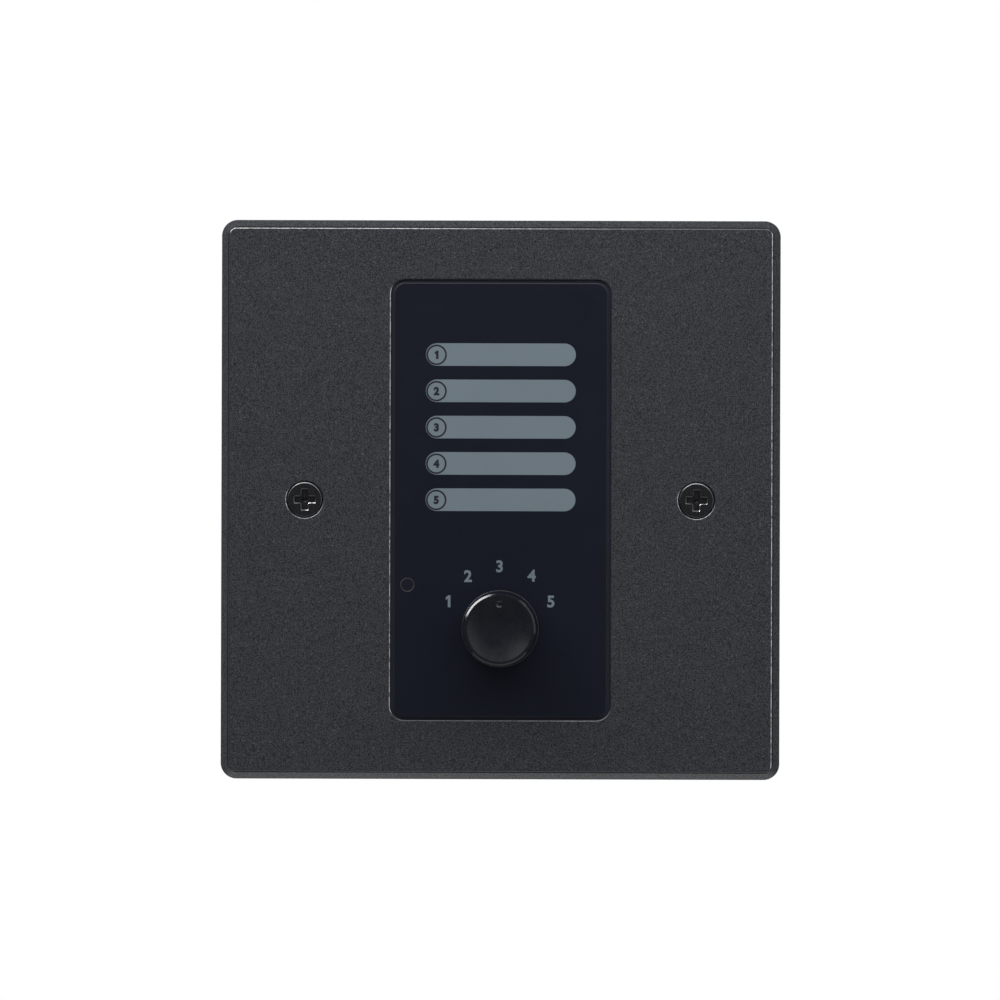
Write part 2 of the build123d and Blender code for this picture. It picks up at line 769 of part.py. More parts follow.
# Knob: tapered body with a bevelled, dished face, a pointer dimple, a recess for the bush and a D bore
with BuildPart() as knob:
    with BuildSketch(Plane(origin=(0, 0, knob_z), x_dir=(1, 0, 0), z_dir=(0, 0, -1))):
        with BuildLine():
            Polyline(
                (0, knob_front),
                (knob_front_r, knob_front),
                (knob_base_r, knob_back),
                (knob_recess_r, knob_back),
                (knob_recess_r, knob_seat),
                (0, knob_seat),
                close=True,
            )
        make_face()
    revolve(axis=Axis((0, 0, knob_z), (0, -1, 0)))
    knob_face = knob.faces().sort_by(Axis.Y)[0]
    chamfer(knob_face.edges(), knob_bevel_width, knob_bevel_height, reference=knob_face)
    with Locations((0, -dish_centre, knob_z)):
        Sphere(dish_sphere_r, mode=Mode.SUBTRACT)
    full_circles = knob.edges().filter_by(lambda edge: edge.is_closed)
    fillet(full_circles.group_by(Axis.Y)[0].sort_by(SortBy.LENGTH)[0], knob_dish_edge_r)
    with Locations((0, -(pointer_floor - pointer_depth + pointer_sphere_r), knob_z + pointer_rise)):
        Sphere(pointer_sphere_r, mode=Mode.SUBTRACT)
    bore_r = shaft_r + knob_bore_gap
    bore_flat = shaft_flat + knob_spring_thickness + 2 * knob_spring_gap
    with BuildSketch(dial(knob_seat)):
        Circle(bore_r)
        with Locations((0, (bore_r - bore_flat) / 2)):
            Rectangle(2 * bore_r, bore_r + bore_flat, mode=Mode.INTERSECT)
    extrude(amount=knob_bore_end - knob_seat, mode=Mode.SUBTRACT)
keep(knob, "knob")

# Knob spring: leaf between the flat of the shaft and the flat of the bore
with BuildPart() as knob_spring:
    with BuildSketch(dial(knob_bore_end - shaft_end_gap - knob_spring_length)):
        with Locations((0, -(shaft_flat + knob_spring_gap + knob_spring_thickness / 2))):
            Rectangle(knob_spring_width, knob_spring_thickness)
    extrude(amount=knob_spring_length)
keep(knob_spring, "knob_spring")

# Data sockets: a shell with the plug cavity, latch way and board pegs, and eight hooked contacts
for row, row_z in socket_rows.items():
    with BuildPart() as socket_shell:
        with BuildSketch(socket_face(socket_mouth, row_z)):
            RectangleRounded(socket_width, socket_side, socket_corner_r)
        extrude(amount=socket_height)
        with BuildSketch(socket_face(socket_mouth, row_z)):
            with Locations((0, plug_shift)):
                Rectangle(plug_width, plug_side)
            with Locations((0, plug_top)):
                Rectangle(latch_width, latch_rise, align=(Align.CENTER, Align.MIN))
            with Locations((0, plug_top + latch_rise)):
                Rectangle(latch_slot_width, latch_slot_rise, align=(Align.CENTER, Align.MIN))
        extrude(amount=plug_depth, mode=Mode.SUBTRACT)
        with BuildSketch(socket_face(socket_mouth, row_z)):
            with Locations((0, plug_bottom)):
                Rectangle(comb_width, comb_depth, align=(Align.CENTER, Align.MAX))
        extrude(amount=socket_height, mode=Mode.SUBTRACT)
        with BuildSketch(socket_face(board_back, row_z)):
            with Locations((0, peg_side)):
                with GridLocations(peg_span, 0, 2, 1):
                    Circle(peg_r)
        extrude(amount=board_thickness + peg_end)
    keep(socket_shell, f"{row}_socket_shell")

    with BuildPart() as socket_contacts:
        for number in range(contact_count):
            contact_x = (number - (contact_count - 1) / 2) * contact_spacing
            contact_plane = Plane(origin=(contact_x, 0, row_z), x_dir=(0, 0, 1), z_dir=(1, 0, 0))
            with BuildSketch(contact_plane):
                with BuildLine():
                    FilletPolyline(
                        (contact_side, board_front + contact_tail),
                        (contact_side, contact_bend),
                        (contact_side + contact_bend_width, contact_bend),
                        (contact_side + contact_reach, contact_bend + contact_drop),
                        radius=contact_bend_r,
                    )
                trace(line_width=contact_thickness)
            extrude(amount=contact_width / 2, both=True)
    keep(socket_contacts, f"{row}_socket_contacts")

# Resistors: one for each position, lying on the back of the board
with BuildPart() as resistor:
    with BuildSketch(Plane.XZ):
        with BuildLine():
            Polyline(
                (-resistor_length / 2, resistor_axis),
                (-resistor_length / 2, resistor_axis + resistor_end_r),
                (-resistor_length / 2 + resistor_end_length, resistor_axis + resistor_end_r),
                (-resistor_length / 2 + resistor_end_length, resistor_axis + resistor_waist_r),
                (resistor_length / 2 - resistor_end_length, resistor_axis + resistor_waist_r),
                (resistor_length / 2 - resistor_end_length, resistor_axis + resistor_end_r),
                (resistor_length / 2, resistor_axis + resistor_end_r),
                (resistor_length / 2, resistor_axis),
                close=True,
            )
        make_face()
    revolve(axis=Axis((0, 0, resistor_axis), (1, 0, 0)))
    ends = resistor.edges().filter_by(GeomType.CIRCLE)
    fillet(ends.group_by(Axis.X)[0] + ends.group_by(Axis.X)[-1], resistor_edge_r)
    with BuildLine(Plane.XZ):
        FilletPolyline(
            (-lead_span / 2, -board_thickness - lead_tail),
            (-lead_span / 2, resistor_axis),
            (lead_span / 2, resistor_axis),
            (lead_span / 2, -board_thickness - lead_tail),
            radius=lead_bend_r,
        )
    with BuildSketch(Plane((-lead_span / 2, 0, -board_thickness - lead_tail))):
        Circle(lead_r)
    sweep()
with BuildPart() as ladder_resistors:
    for number in range(positions):
        resistor_x = (number - (positions - 1) / 2) * resistor_spacing
        with Locations(
            Plane(origin=(resistor_x, -board_back, resistor_z), x_dir=(0, 0, 1), z_dir=(0, 1, 0))
        ):
            add(resistor.part)
keep(ladder_resistors, "ladder_resistors")
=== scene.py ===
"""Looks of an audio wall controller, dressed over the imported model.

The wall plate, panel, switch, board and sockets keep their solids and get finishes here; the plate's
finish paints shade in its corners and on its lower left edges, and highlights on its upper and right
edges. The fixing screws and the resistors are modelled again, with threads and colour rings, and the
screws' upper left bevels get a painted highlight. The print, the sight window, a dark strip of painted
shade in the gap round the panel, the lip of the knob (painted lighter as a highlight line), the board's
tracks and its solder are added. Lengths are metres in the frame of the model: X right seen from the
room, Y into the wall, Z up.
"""

import json
from collections import namedtuple
from math import cos, pi, radians, sin, tau

import bmesh
import bpy
from bpy.props import FloatProperty, FloatVectorProperty, PointerProperty
from mathutils import Matrix, Vector


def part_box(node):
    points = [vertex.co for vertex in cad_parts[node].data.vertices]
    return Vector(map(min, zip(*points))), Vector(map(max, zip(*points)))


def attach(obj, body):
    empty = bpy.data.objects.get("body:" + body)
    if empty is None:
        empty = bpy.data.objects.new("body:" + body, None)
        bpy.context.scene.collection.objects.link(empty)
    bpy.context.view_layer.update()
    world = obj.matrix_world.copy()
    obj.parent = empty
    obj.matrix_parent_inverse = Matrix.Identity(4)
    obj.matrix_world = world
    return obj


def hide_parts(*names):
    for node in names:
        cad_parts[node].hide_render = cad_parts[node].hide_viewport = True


bl_info = {
    "name": "Audio wall controller",
    "version": (1, 0, 0),
    "blender": (4, 5, 0),
    "location": "View3D > Sidebar > Controller",
    "description": "Dresses the solids of an audio wall controller and sets its stage",
    "category": "Object",
}

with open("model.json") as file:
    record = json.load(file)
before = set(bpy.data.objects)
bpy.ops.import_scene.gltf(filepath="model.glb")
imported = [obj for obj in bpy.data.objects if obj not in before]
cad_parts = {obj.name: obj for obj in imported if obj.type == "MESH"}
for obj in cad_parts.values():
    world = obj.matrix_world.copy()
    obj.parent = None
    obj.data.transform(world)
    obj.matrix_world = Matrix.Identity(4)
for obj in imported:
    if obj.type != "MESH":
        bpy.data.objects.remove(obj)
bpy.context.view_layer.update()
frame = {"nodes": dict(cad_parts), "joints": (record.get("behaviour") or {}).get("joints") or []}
nodes = frame["nodes"]
FIXED = "controller"
TURNING = "selector"


def length(name, description, default):
    """A property for a length in metres."""
    return FloatProperty(
        name=name, description=description, default=default, unit="LENGTH", subtype="DISTANCE", precision=6
    )


def angle(name, description, default):
    """A property for an angle, given in degrees."""
    return FloatProperty(
        name=name, description=description, default=radians(default), unit="ROTATION", subtype="ANGLE"
    )


def colour(name, description, default):
    """A property for a linear colour."""
    return FloatVectorProperty(
        name=name, description=description, default=default, size=3, min=0.0, max=1.0, subtype="COLOR"
    )


def amount(name, description, default):
    """A property for a plain number."""
    return FloatProperty(name=name, description=description, default=default, min=0.0)


def watts(name, description, default):
    """A property for the power of a lamp."""
    return FloatProperty(name=name, description=description, default=default, min=0.0, unit="POWER")


class FinishColours(bpy.types.PropertyGroup):
    """Colours of the finishes"""

    plate: colour("Plate", "Charcoal moulding of the wall plate", (0.0330, 0.0362, 0.0430))
    plate_fleck: colour("Plate fleck", "Pale flecks in the plate's texture", (0.088, 0.093, 0.102))
    # Painted highlight for the plate's rounded edges that face up and right, not a colour of the moulding
    plate_edge: colour("Plate edge", "Burnished edges of the plate", (0.62, 0.62, 0.63))
    panel: colour("Panel", "Charcoal moulding behind the film", (0.020, 0.022, 0.027))
    film: colour("Film", "Dark blue film on the panel", (0.0084, 0.0103, 0.0197))
    label: colour("Label", "Grey label strips and the numerals of the dial", (0.152, 0.195, 0.229))
    ink: colour("Ink", "Dark print on the label strips", (0.005, 0.0055, 0.008))
    knob: colour("Knob", "Black moulding of the knob", (0.0070, 0.0082, 0.0135))
    # Painted highlight: lighter than the knob, so that the knob's foot shows as a light line
    knob_lip: colour("Knob lip", "Foot of the knob, greyed by wear", (0.036, 0.038, 0.044))
    screw: colour("Screw", "Black finish of the fixing screws", (0.125, 0.127, 0.138))
    # Painted highlight on the screws' bevels that face up and to the left
    screw_edge: colour("Screw edge", "Edges of the fixing screws, worn bright", (0.42, 0.42, 0.43))
    zinc: colour("Zinc", "Zinc plating of the bracket and the small screws", (0.60, 0.61, 0.60))
    casting: colour("Casting", "Die casting of the bush and the shaft", (0.58, 0.58, 0.57))
    spring: colour("Spring", "Bright spring steel", (0.52, 0.53, 0.55))
    gold: colour("Gold", "Gold flash on the contacts", (0.83, 0.61, 0.24))
    mask: colour("Solder mask", "Green mask of the circuit board", (0.012, 0.085, 0.036))
    track: colour("Track", "Tracks that show through the mask", (0.022, 0.135, 0.055))
    laminate: colour("Laminate", "Bare edge of the circuit board", (0.36, 0.33, 0.16))
    board_print: colour("Board print", "White outlines on the circuit board", (0.72, 0.73, 0.70))
    solder: colour("Solder", "Tin on the pads and pins", (0.66, 0.67, 0.68))
    socket: colour("Socket", "Black moulding of the data sockets", (0.012, 0.012, 0.013))
    switch: colour("Switch", "Black moulding of the switch", (0.022, 0.022, 0.024))
    phenolic: colour("Phenolic", "Brown board of the switch's terminals", (0.18, 0.095, 0.042))
    acetal: colour("Acetal", "White moulding of the switch's rotor", (0.74, 0.73, 0.69))
    lacquer: colour("Lacquer", "Tan coating of the resistors", (0.50, 0.33, 0.17))
    grime: colour("Grime", "Dirt on the coating of the resistors", (0.20, 0.14, 0.08))
    # Painted shade: a strip put in the gap round the panel to set the tone of its shade
    seal: colour("Seal", "Dark strip in the gap round the panel", (0.019, 0.023, 0.050))
    sight_ring: colour("Sight ring", "Grey ring round the sight window", (0.042, 0.043, 0.046))
    floor: colour("Floor", "Pale floor", (0.86, 0.86, 0.86))


class PrintSizes(bpy.types.PropertyGroup):
    """Sizes of the print on the film and the label strips"""

    numeral_height: length("Numeral height", "Height of the numerals round the knob", 0.00185)
    strip_numeral_height: length("Strip numeral height", "Height of the numerals on the strips", 0.0013)
    ring_radius: length("Ring radius", "Outer radius of the ring on each strip", 0.00157)
    ring_line: length("Ring line", "Width of the ring's line", 0.00025)
    ink_thickness: length("Ink thickness", "How far the print stands out of the film", 0.00001)
    dial_weight: amount("Dial weight", "How much the dial's numerals are thickened", 0.03)
    strip_weight: amount("Strip weight", "How much the strips' numerals are thickened", 0.06)


class ScrewSizes(bpy.types.PropertyGroup):
    """Sizes of the fixing screws' details"""

    head_spread: length("Head spread", "How far the head spreads towards its recess", 0.00005)
    head_edge: length("Head edge", "Width of the head's bevelled edge", 0.0002)
    cross_span: length("Cross span", "Length of the cross slot", 0.00324)
    cross_width: length("Cross width", "Width of the cross slot's arms", 0.00104)
    cross_depth: length("Cross depth", "Depth of the cross slot", 0.0009)
    neck_radius: length("Neck radius", "Radius of the plain neck", 0.0015)
    thread_radius: length("Thread radius", "Outer radius of the thread", 0.00175)
    thread_depth: length("Thread depth", "Depth of the thread", 0.00034)
    thread_pitch: length("Thread pitch", "Advance of the thread in one turn", 0.0006)


class BoardSizes(bpy.types.PropertyGroup):
    """Sizes of the details on the back of the circuit board"""

    track_width: length("Track width", "Width of a track", 0.00042)
    track_height: length("Track height", "How far a track stands out of the board", 0.00003)
    print_width: length("Print width", "Width of a printed outline", 0.00016)
    pad_radius: length("Pad radius", "Radius of a soldered pad", 0.00072)
    solder_height: length("Solder height", "Height of a solder joint", 0.0007)
    pin_radius: length("Pin radius", "Radius of a switch terminal", 0.00045)
    pin_circle: length("Pin circle", "Radius of the circle of terminals", 0.0046)
    lead_radius: length("Lead radius", "Radius of a resistor's wire", 0.00028)
    resistor_half: length("Resistor half", "Half the length of a resistor's coating", 0.0031)
    resistor_end: length("Resistor end", "Radius of a resistor's thick ends", 0.0012)
    resistor_waist: length("Resistor waist", "Radius of a resistor between its ends", 0.0010)


class StageSettings(bpy.types.PropertyGroup):
    """Camera, lamps and floor"""

    camera_distance: length("Camera distance", "From the camera to the front of the plate", 3.0)
    camera_lens: FloatProperty(
        name="Lens", description="Focal length in millimetres", default=702.0, unit="CAMERA"
    )
    camera_side: angle("Camera side", "How far the camera stands to the right", 0.6)
    camera_rise: angle("Camera rise", "How far the camera stands above", 0.25)
    camera_roll: angle("Camera roll", "Turn of the camera about its line of sight", 0.16)
    camera_aim: length("Camera aim", "How far right of the plate's middle the camera is aimed", -0.00008)
    floor_drop: length("Floor drop", "How far the floor lies below the middle of the plate", 0.3)
    floor_radius: length("Floor radius", "Radius of the round floor", 0.34)
    floor_gloss: amount("Floor gloss", "Light of the floor in glossy surfaces", 0.5)
    room_fill: amount("Room fill", "Light of the room on matt surfaces", 0.25)
    room_gloss: amount("Room gloss", "Light of the room in glossy surfaces", 0.08)
    top_lamp: watts("Top lamp", "Power of the broad lamp above", 1.2)
    strip_lamp: watts("Strip lamp", "Power of the long narrow lamp above left", 1.29)
    left_lamp: watts("Left lamp", "Power of the soft lamp above left", 0.13)
    right_lamp: watts("Right lamp", "Power of the soft lamp on the right", 0.295)
    low_lamp: watts("Low lamp", "Power of the weak lamp below", 0.18)


class ControllerSettings(bpy.types.PropertyGroup):
    """Everything that a user may change"""

    colours: PointerProperty(type=FinishColours)
    printed: PointerProperty(type=PrintSizes)
    screws: PointerProperty(type=ScrewSizes)
    board: PointerProperty(type=BoardSizes)
    stage: PointerProperty(type=StageSettings)


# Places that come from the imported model
knob_axis = Vector(frame["joints"][0]["pos_m"])
plate_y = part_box("wall_plate")[0].y
film_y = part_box("graphic_overlay")[0].y
board_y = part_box("circuit_board")[1].y
strips = [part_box(f"label_strip_{number}") for number in range(1, 6)]
screw_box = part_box("plate_screws")
head_radius = (screw_box[1].z - screw_box[0].z) / 2
screw_x = screw_box[1].x - head_radius
head_y = screw_box[0].y
resistor_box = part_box("ladder_resistors")
upper_socket_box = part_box("upper_socket_shell")
lower_socket_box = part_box("lower_socket_shell")

# X of the five resistors
LEAD_COLUMNS = (-0.0064, -0.0032, 0.0, 0.0032, 0.0064)
# Bearings of the switch's five terminals round the knob's axis, in degrees from the top
PIN_BEARINGS = (-60.0, -30.0, 0.0, 30.0, 60.0)
# Places of the five numerals round the knob, from the knob's axis, as X and Z
NUMERAL_PLACES = (
    (-0.00802, 0.0042),
    (-0.00498, 0.00808),
    (-0.00012, 0.0096),
    (0.00482, 0.00818),
    (0.00778, 0.0042),
)
# Outline of a one, as X and Y
ONE_OUTLINE = (
    (0.17, 0.0),
    (0.28, 0.0),
    (0.28, 0.70),
    (0.19, 0.70),
    (0.04, 0.58),
    (0.04, 0.49),
    (0.17, 0.57),
)
# Middle and radius of the recess for the sight window
SIGHT_MIDDLE = Vector((-0.0143, 0.0, -0.0131))
SIGHT_RADIUS = 0.00108
# Rings of colour on a resistor: where each starts and ends along the coating, and its colour
RESISTOR_RINGS = (
    (0.12, 0.19, (0.34, 0.17, 0.02)),
    (0.34, 0.42, (0.30, 0.012, 0.010)),
    (0.50, 0.58, (0.45, 0.11, 0.012)),
    (0.80, 0.87, (0.10, 0.04, 0.018)),
)

# A lamp hangs at a bearing round the plate, from the right, and at a tilt from the plate's front
Lamp = namedtuple("Lamp", "bearing tilt distance size outline", defaults=("RECTANGLE",))
LAMPS = {
    "top_lamp": Lamp(84.0, 52.0, 0.4, (0.7, 0.19)),
    "strip_lamp": Lamp(132.0, 73.7, 0.5, (0.6, 0.06), "ELLIPSE"),
    "left_lamp": Lamp(138.0, 34.0, 0.6, (0.24, 0.26)),
    "right_lamp": Lamp(22.0, 55.0, 0.36, (0.43, 0.4)),
    "low_lamp": Lamp(270.0, 102.0, 0.27, (0.5, 0.12)),
}


def shift_tone(base, share):
    """A colour made lighter or darker by a share."""
    return tuple(channel * (1.0 + share) for channel in base)


class Wiring:
    """A node tree, with short ways to add nodes to it."""

    def __init__(self, tree):
        self.tree = tree

    def node(self, kind, inputs=None, **settings):
        """Add a node with its settings. Each input takes a plain value or an output."""
        made = self.tree.nodes.new(f"ShaderNode{kind}")
        for name, value in settings.items():
            setattr(made, name, value)
        for name, value in (inputs or {}).items():
            if isinstance(value, bpy.types.NodeSocket):
                self.tree.links.new(value, made.inputs[name])
            else:
                made.inputs[name].default_value = value
        return made

    def between(self, value, low, high, out_low=0.0, out_high=1.0):
        """Map a value from one range to another and hold it there."""
        ends = {"From Min": low, "From Max": high, "To Min": out_low, "To Max": out_high}
        return self.node("MapRange", {"Value": value, **ends}).outputs["Result"]

    def blend(self, share, first, second):
        """Blend two colours, each a plain colour or an output, by a share."""
        first, second = (
            tone if isinstance(tone, bpy.types.NodeSocket) else (*tone, 1.0) for tone in (first, second)
        )
        mixed = self.node("Mix", {"Factor": share, 6: first, 7: second}, data_type="RGBA")
        return mixed.outputs[2]

    def math(self, operation, *values):
        """Reckon with one or two values."""
        return self.node("Math", dict(enumerate(values)), operation=operation).outputs["Value"]

    def product(self, first, *others):
        """Multiply values."""
        for other in others:
            first = self.math("MULTIPLY", first, other)
        return first

    def parts(self, vector):
        """The X, Y and Z of a vector."""
        return self.node("SeparateXYZ", {"Vector": vector}).outputs


class Finish(Wiring):
    """A material with one Principled shader, whose plain values stand on the shader's own sockets."""

    def __init__(self, name, base, roughness, sockets=None):
        self.material = bpy.data.materials.new(name)
        self.material.use_nodes = True
        super().__init__(self.material.node_tree)
        self.shader = self.tree.nodes["Principled BSDF"]
        plain = {"Base Color": (*base, 1.0), "Roughness": roughness, **(sockets or {})}
        for socket, value in plain.items():
            self.shader.inputs[socket].default_value = value

    def drive(self, socket, output):
        """Let an output set a socket of the shader."""
        self.tree.links.new(output, self.shader.inputs[socket])

    def place(self, stretch=(1.0, 1.0, 1.0)):
        """The place of a point on its own piece, stretched for a grain with a direction."""
        place = self.node("TexCoord").outputs["Object"]
        return self.node("Mapping", {"Vector": place, "Scale": stretch}).outputs["Vector"]

    def noise(self, place, scale, detail=3.0, roughness=0.55):
        """A noise of so many waves to the metre."""
        inputs = {"Vector": place, "Scale": scale, "Detail": detail, "Roughness": roughness}
        return self.node("TexNoise", inputs).outputs["Fac"]

    def flecks(self, place, scale, size, share):
        """A mask of small round flecks, in a share of the cells of a pattern."""
        cells = self.node("TexVoronoi", {"Vector": place, "Scale": scale}).outputs
        draw = self.node("SeparateColor", {"Color": cells["Color"]}).outputs["Red"]
        chosen = self.between(draw, 1.0 - share, 1.02 - share)
        return self.product(self.between(cells["Distance"], size * 0.6, size, 1.0, 0.0), chosen)

    def mottle(self, value, low, high, base, darker, lighter):
        """A colour that is darker where a value is low and lighter where it is high, by shares."""
        return self.blend(
            self.between(value, low, high), shift_tone(base, -darker), shift_tone(base, lighter)
        )

    def facing_out(self):
        """How a surface faces along Y on its own piece: -1 where it faces the room."""
        return self.parts(self.node("TexCoord").outputs["Normal"])["Y"]

    def facing_round(self, bearing):
        """How near a slope faces to a bearing round Y, in degrees from the right, however steep it is."""
        normal = self.node("TexCoord").outputs["Normal"]
        flat = self.node("VectorMath", {0: normal, 1: (1.0, 0.0, 1.0)}, operation="MULTIPLY")
        way = self.node("VectorMath", {0: flat.outputs["Vector"]}, operation="NORMALIZE")
        aim = (cos(radians(bearing)), 0.0, sin(radians(bearing)))
        near = self.node("VectorMath", {0: way.outputs["Vector"], 1: aim}, operation="DOT_PRODUCT")
        return near.outputs["Value"]

    def relief(self, height, depth, strength=1.0, edge=None):
        """Give the surface a relief of a depth in metres, and softened edges of a radius."""
        inputs = {"Height": height, "Strength": strength, "Distance": depth}
        if edge:
            inputs["Normal"] = self.node("Bevel", {"Radius": edge}, samples=6).outputs["Normal"]
        self.drive("Normal", self.node("Bump", inputs).outputs["Normal"])


def moulded(name, base, roughness, grain, depth, spread=0.12, edge=None, sockets=None):
    """A moulded plastic with a fine even grain."""
    plastic = Finish(name, base, roughness, sockets)
    place = plastic.place()
    texture = plastic.noise(place, grain, detail=4.0)
    cloud = plastic.noise(place, grain / 40, detail=2.0)
    plastic.drive("Base Color", plastic.mottle(cloud, 0.3, 0.7, base, spread, spread))
    plastic.drive("Roughness", plastic.between(texture, 0.3, 0.7, roughness - 0.06, roughness + 0.06))
    plastic.relief(texture, depth, edge=edge)
    return plastic.material


def plated(name, base, roughness, stretch=(1.0, 1.0, 1.0), edge=None):
    """A bright metal with a rolled grain and faint clouds of tarnish."""
    tarnished, bright = (0.80, 0.80, 0.84), (1.06, 1.05, 1.0)
    metal = Finish(name, base, roughness, {"Metallic": 1.0})
    grain = metal.noise(metal.place(stretch), 5200.0)
    cloud = metal.noise(metal.place(), 240.0, detail=5.0, roughness=0.62)
    tones = (tuple(channel * share for channel, share in zip(base, tint)) for tint in (tarnished, bright))
    metal.drive("Base Color", metal.blend(metal.between(cloud, 0.35, 0.65), *tones))
    metal.drive("Roughness", metal.between(grain, 0.3, 0.7, roughness - 0.08, roughness + 0.10))
    metal.relief(grain, 4e-6, edge=edge)
    return metal.material


def speckled_plate(colours):
    """The plate's charcoal moulding: a mottled spark texture with pale flecks and dark pits, with painted
    shade in concave corners and on the rounded edges that face down and left, and a painted highlight
    on the rounded edges that face up and right.
    """
    base = colours.plate
    plastic = Finish("plate_plastic", base, 0.42, {"Specular IOR Level": 0.45})
    place = plastic.place()
    grain = plastic.noise(place, 5600.0, detail=2.0, roughness=0.5)
    tone = plastic.mottle(grain, 0.39, 0.61, base, 0.75, 0.75)
    pits = plastic.flecks(place, 1300.0, size=0.26, share=0.42)
    specks = plastic.flecks(place, 1700.0, size=0.24, share=0.34)
    tone = plastic.blend(pits, tone, shift_tone(base, -0.65))
    tone = plastic.blend(specks, tone, colours.plate_fleck)
    # Painted shade: darker where ambient occlusion finds a concave corner, such as the foot of the raised
    # field, and on the rounded edges that face down and left
    corner = plastic.node("AmbientOcclusion", {"Distance": 0.0008}, samples=8, only_local=True)
    painted_shade = plastic.math(
        "MAXIMUM", plastic.between(corner.outputs["AO"], 0.62, 0.95, 1.0, 0.0), shaded_edge(plastic)
    )
    tone = plastic.blend(painted_shade, tone, shift_tone(base, -0.7))
    # Painted highlight: near-white, glossier beads on the rounded edges that face up and right
    highlight = burnished_edge(plastic, place)
    plastic.drive("Base Color", plastic.blend(highlight, tone, colours.plate_edge))
    rough = plastic.between(grain, 0.3, 0.7, 0.50, 0.36)
    plastic.drive("Roughness", plastic.product(rough, plastic.between(highlight, 0.0, 1.0, 1.0, 0.55)))
    plastic.relief(grain, 18e-6, strength=0.5)
    return plastic.material


def rounded_edge(plastic):
    """A mask of the rounds between the flat front and the walls."""
    turned_away = plastic.between(plastic.facing_out(), -0.98, -0.94)
    not_steep = plastic.between(plastic.facing_out(), -0.74, -0.68, 1.0, 0.0)
    return plastic.product(turned_away, not_steep)


def shaded_edge(plastic):
    """A mask of the rounded front edges that face down and to the left, where shade is painted darker."""
    return plastic.product(rounded_edge(plastic), plastic.between(plastic.facing_round(215.0), 0.3, 0.7))


def burnished_edge(plastic, place):
    """A mask of the rounded front edges that face up or right, where a highlight is painted bright in beads.

    On an edge that faces up the painted highlight is strongest at the upper left, and weaker below the
    middle of the plate.
    """
    beads = plastic.noise(place, 1900.0, detail=2.0)
    parts = plastic.parts(place)
    upward = plastic.product(
        plastic.between(plastic.facing_round(110.0), 0.5, 0.8),
        plastic.between(plastic.product(parts["X"], parts["Z"]), -0.0006, 0.001, 1.0, 0.12),
        plastic.between(parts["Z"], -0.03, -0.006, 0.4, 1.0),
        plastic.between(beads, 0.38, 0.56, 0.5, 1.0),
    )
    rightward = plastic.product(
        plastic.between(plastic.facing_round(0.0), 0.8, 0.95), plastic.between(beads, 0.38, 0.56, 0.2, 1.0)
    )
    highlight = plastic.math("MAXIMUM", upward, rightward)
    return plastic.product(rounded_edge(plastic), plastic.between(highlight, 0.0, 1.0, 0.02, 1.0))


def satin_knob(colours):
    """The knob's black moulding, with a satin face, polished edges, hair scratches and handling marks."""
    plastic = Finish("knob_plastic", colours.knob, 0.3, {"IOR": 1.56})
    marks = plastic.noise(plastic.place(), 420.0, detail=6.0, roughness=0.7)
    scratches = plastic.noise(plastic.place((1.0, 0.12, 1.0)), 6200.0, detail=2.0)
    polished = plastic.between(plastic.facing_out(), -0.95, -0.88, 1.0, 0.4)
    dulled = plastic.between(marks, 0.35, 0.7, 0.24, 0.32)
    plastic.drive("Roughness", plastic.product(dulled, polished))
    plastic.drive("Base Color", plastic.mottle(marks, 0.4, 0.75, colours.knob, 0.1, 0.25))
    plastic.relief(scratches, 1.5e-6, strength=0.6)
    return plastic.material


def black_screw(colours):
    """Black finish on steel, lighter in patches where a driver touches it, with a painted highlight on the
    bevels of the head and the slot that face up and to the left.
    """
    steel = Finish("black_screw", colours.screw, 0.26, {"Metallic": 1.0})
    place = steel.place()
    grain = steel.noise(place, 3800.0, detail=4.0, roughness=0.65)
    rub = steel.noise(place, 1300.0, detail=5.0, roughness=0.7)
    tone = steel.blend(
        steel.between(rub, 0.55, 0.8, 0.0, 0.6), colours.screw, shift_tone(colours.screw, 0.8)
    )
    # Painted highlight: the bevels of the head and of the slot's mouth that face up and to the left are
    # painted a brighter metal
    painted_glint = steel.product(
        steel.between(steel.facing_out(), -0.95, -0.88),
        steel.between(steel.facing_out(), -0.55, -0.45, 1.0, 0.0),
        steel.between(steel.facing_round(125.0), 0.4, 0.8),
    )
    steel.drive("Base Color", steel.blend(painted_glint, tone, colours.screw_edge))
    steel.drive("Roughness", steel.between(grain, 0.3, 0.7, 0.20, 0.34))
    steel.relief(grain, 4e-6, strength=0.6)
    return steel.material


def masked_board(colours):
    """The board: green mask on both faces and bare laminate on its edges."""
    board = Finish("board_laminate", colours.mask, 0.24, {"Coat Weight": 0.35, "Coat Roughness": 0.08})
    weave = board.noise(board.place(), 900.0, detail=2.0)
    green = board.mottle(weave, 0.35, 0.65, colours.mask, 0.12, 0.12)
    on_face = board.between(board.math("ABSOLUTE", board.facing_out()), 0.45, 0.55)
    board.drive("Base Color", board.blend(on_face, colours.laminate, green))
    board.drive("Roughness", board.between(on_face, 0.0, 1.0, 0.75, 0.24))
    board.relief(weave, 6e-6, strength=0.4)
    return board.material


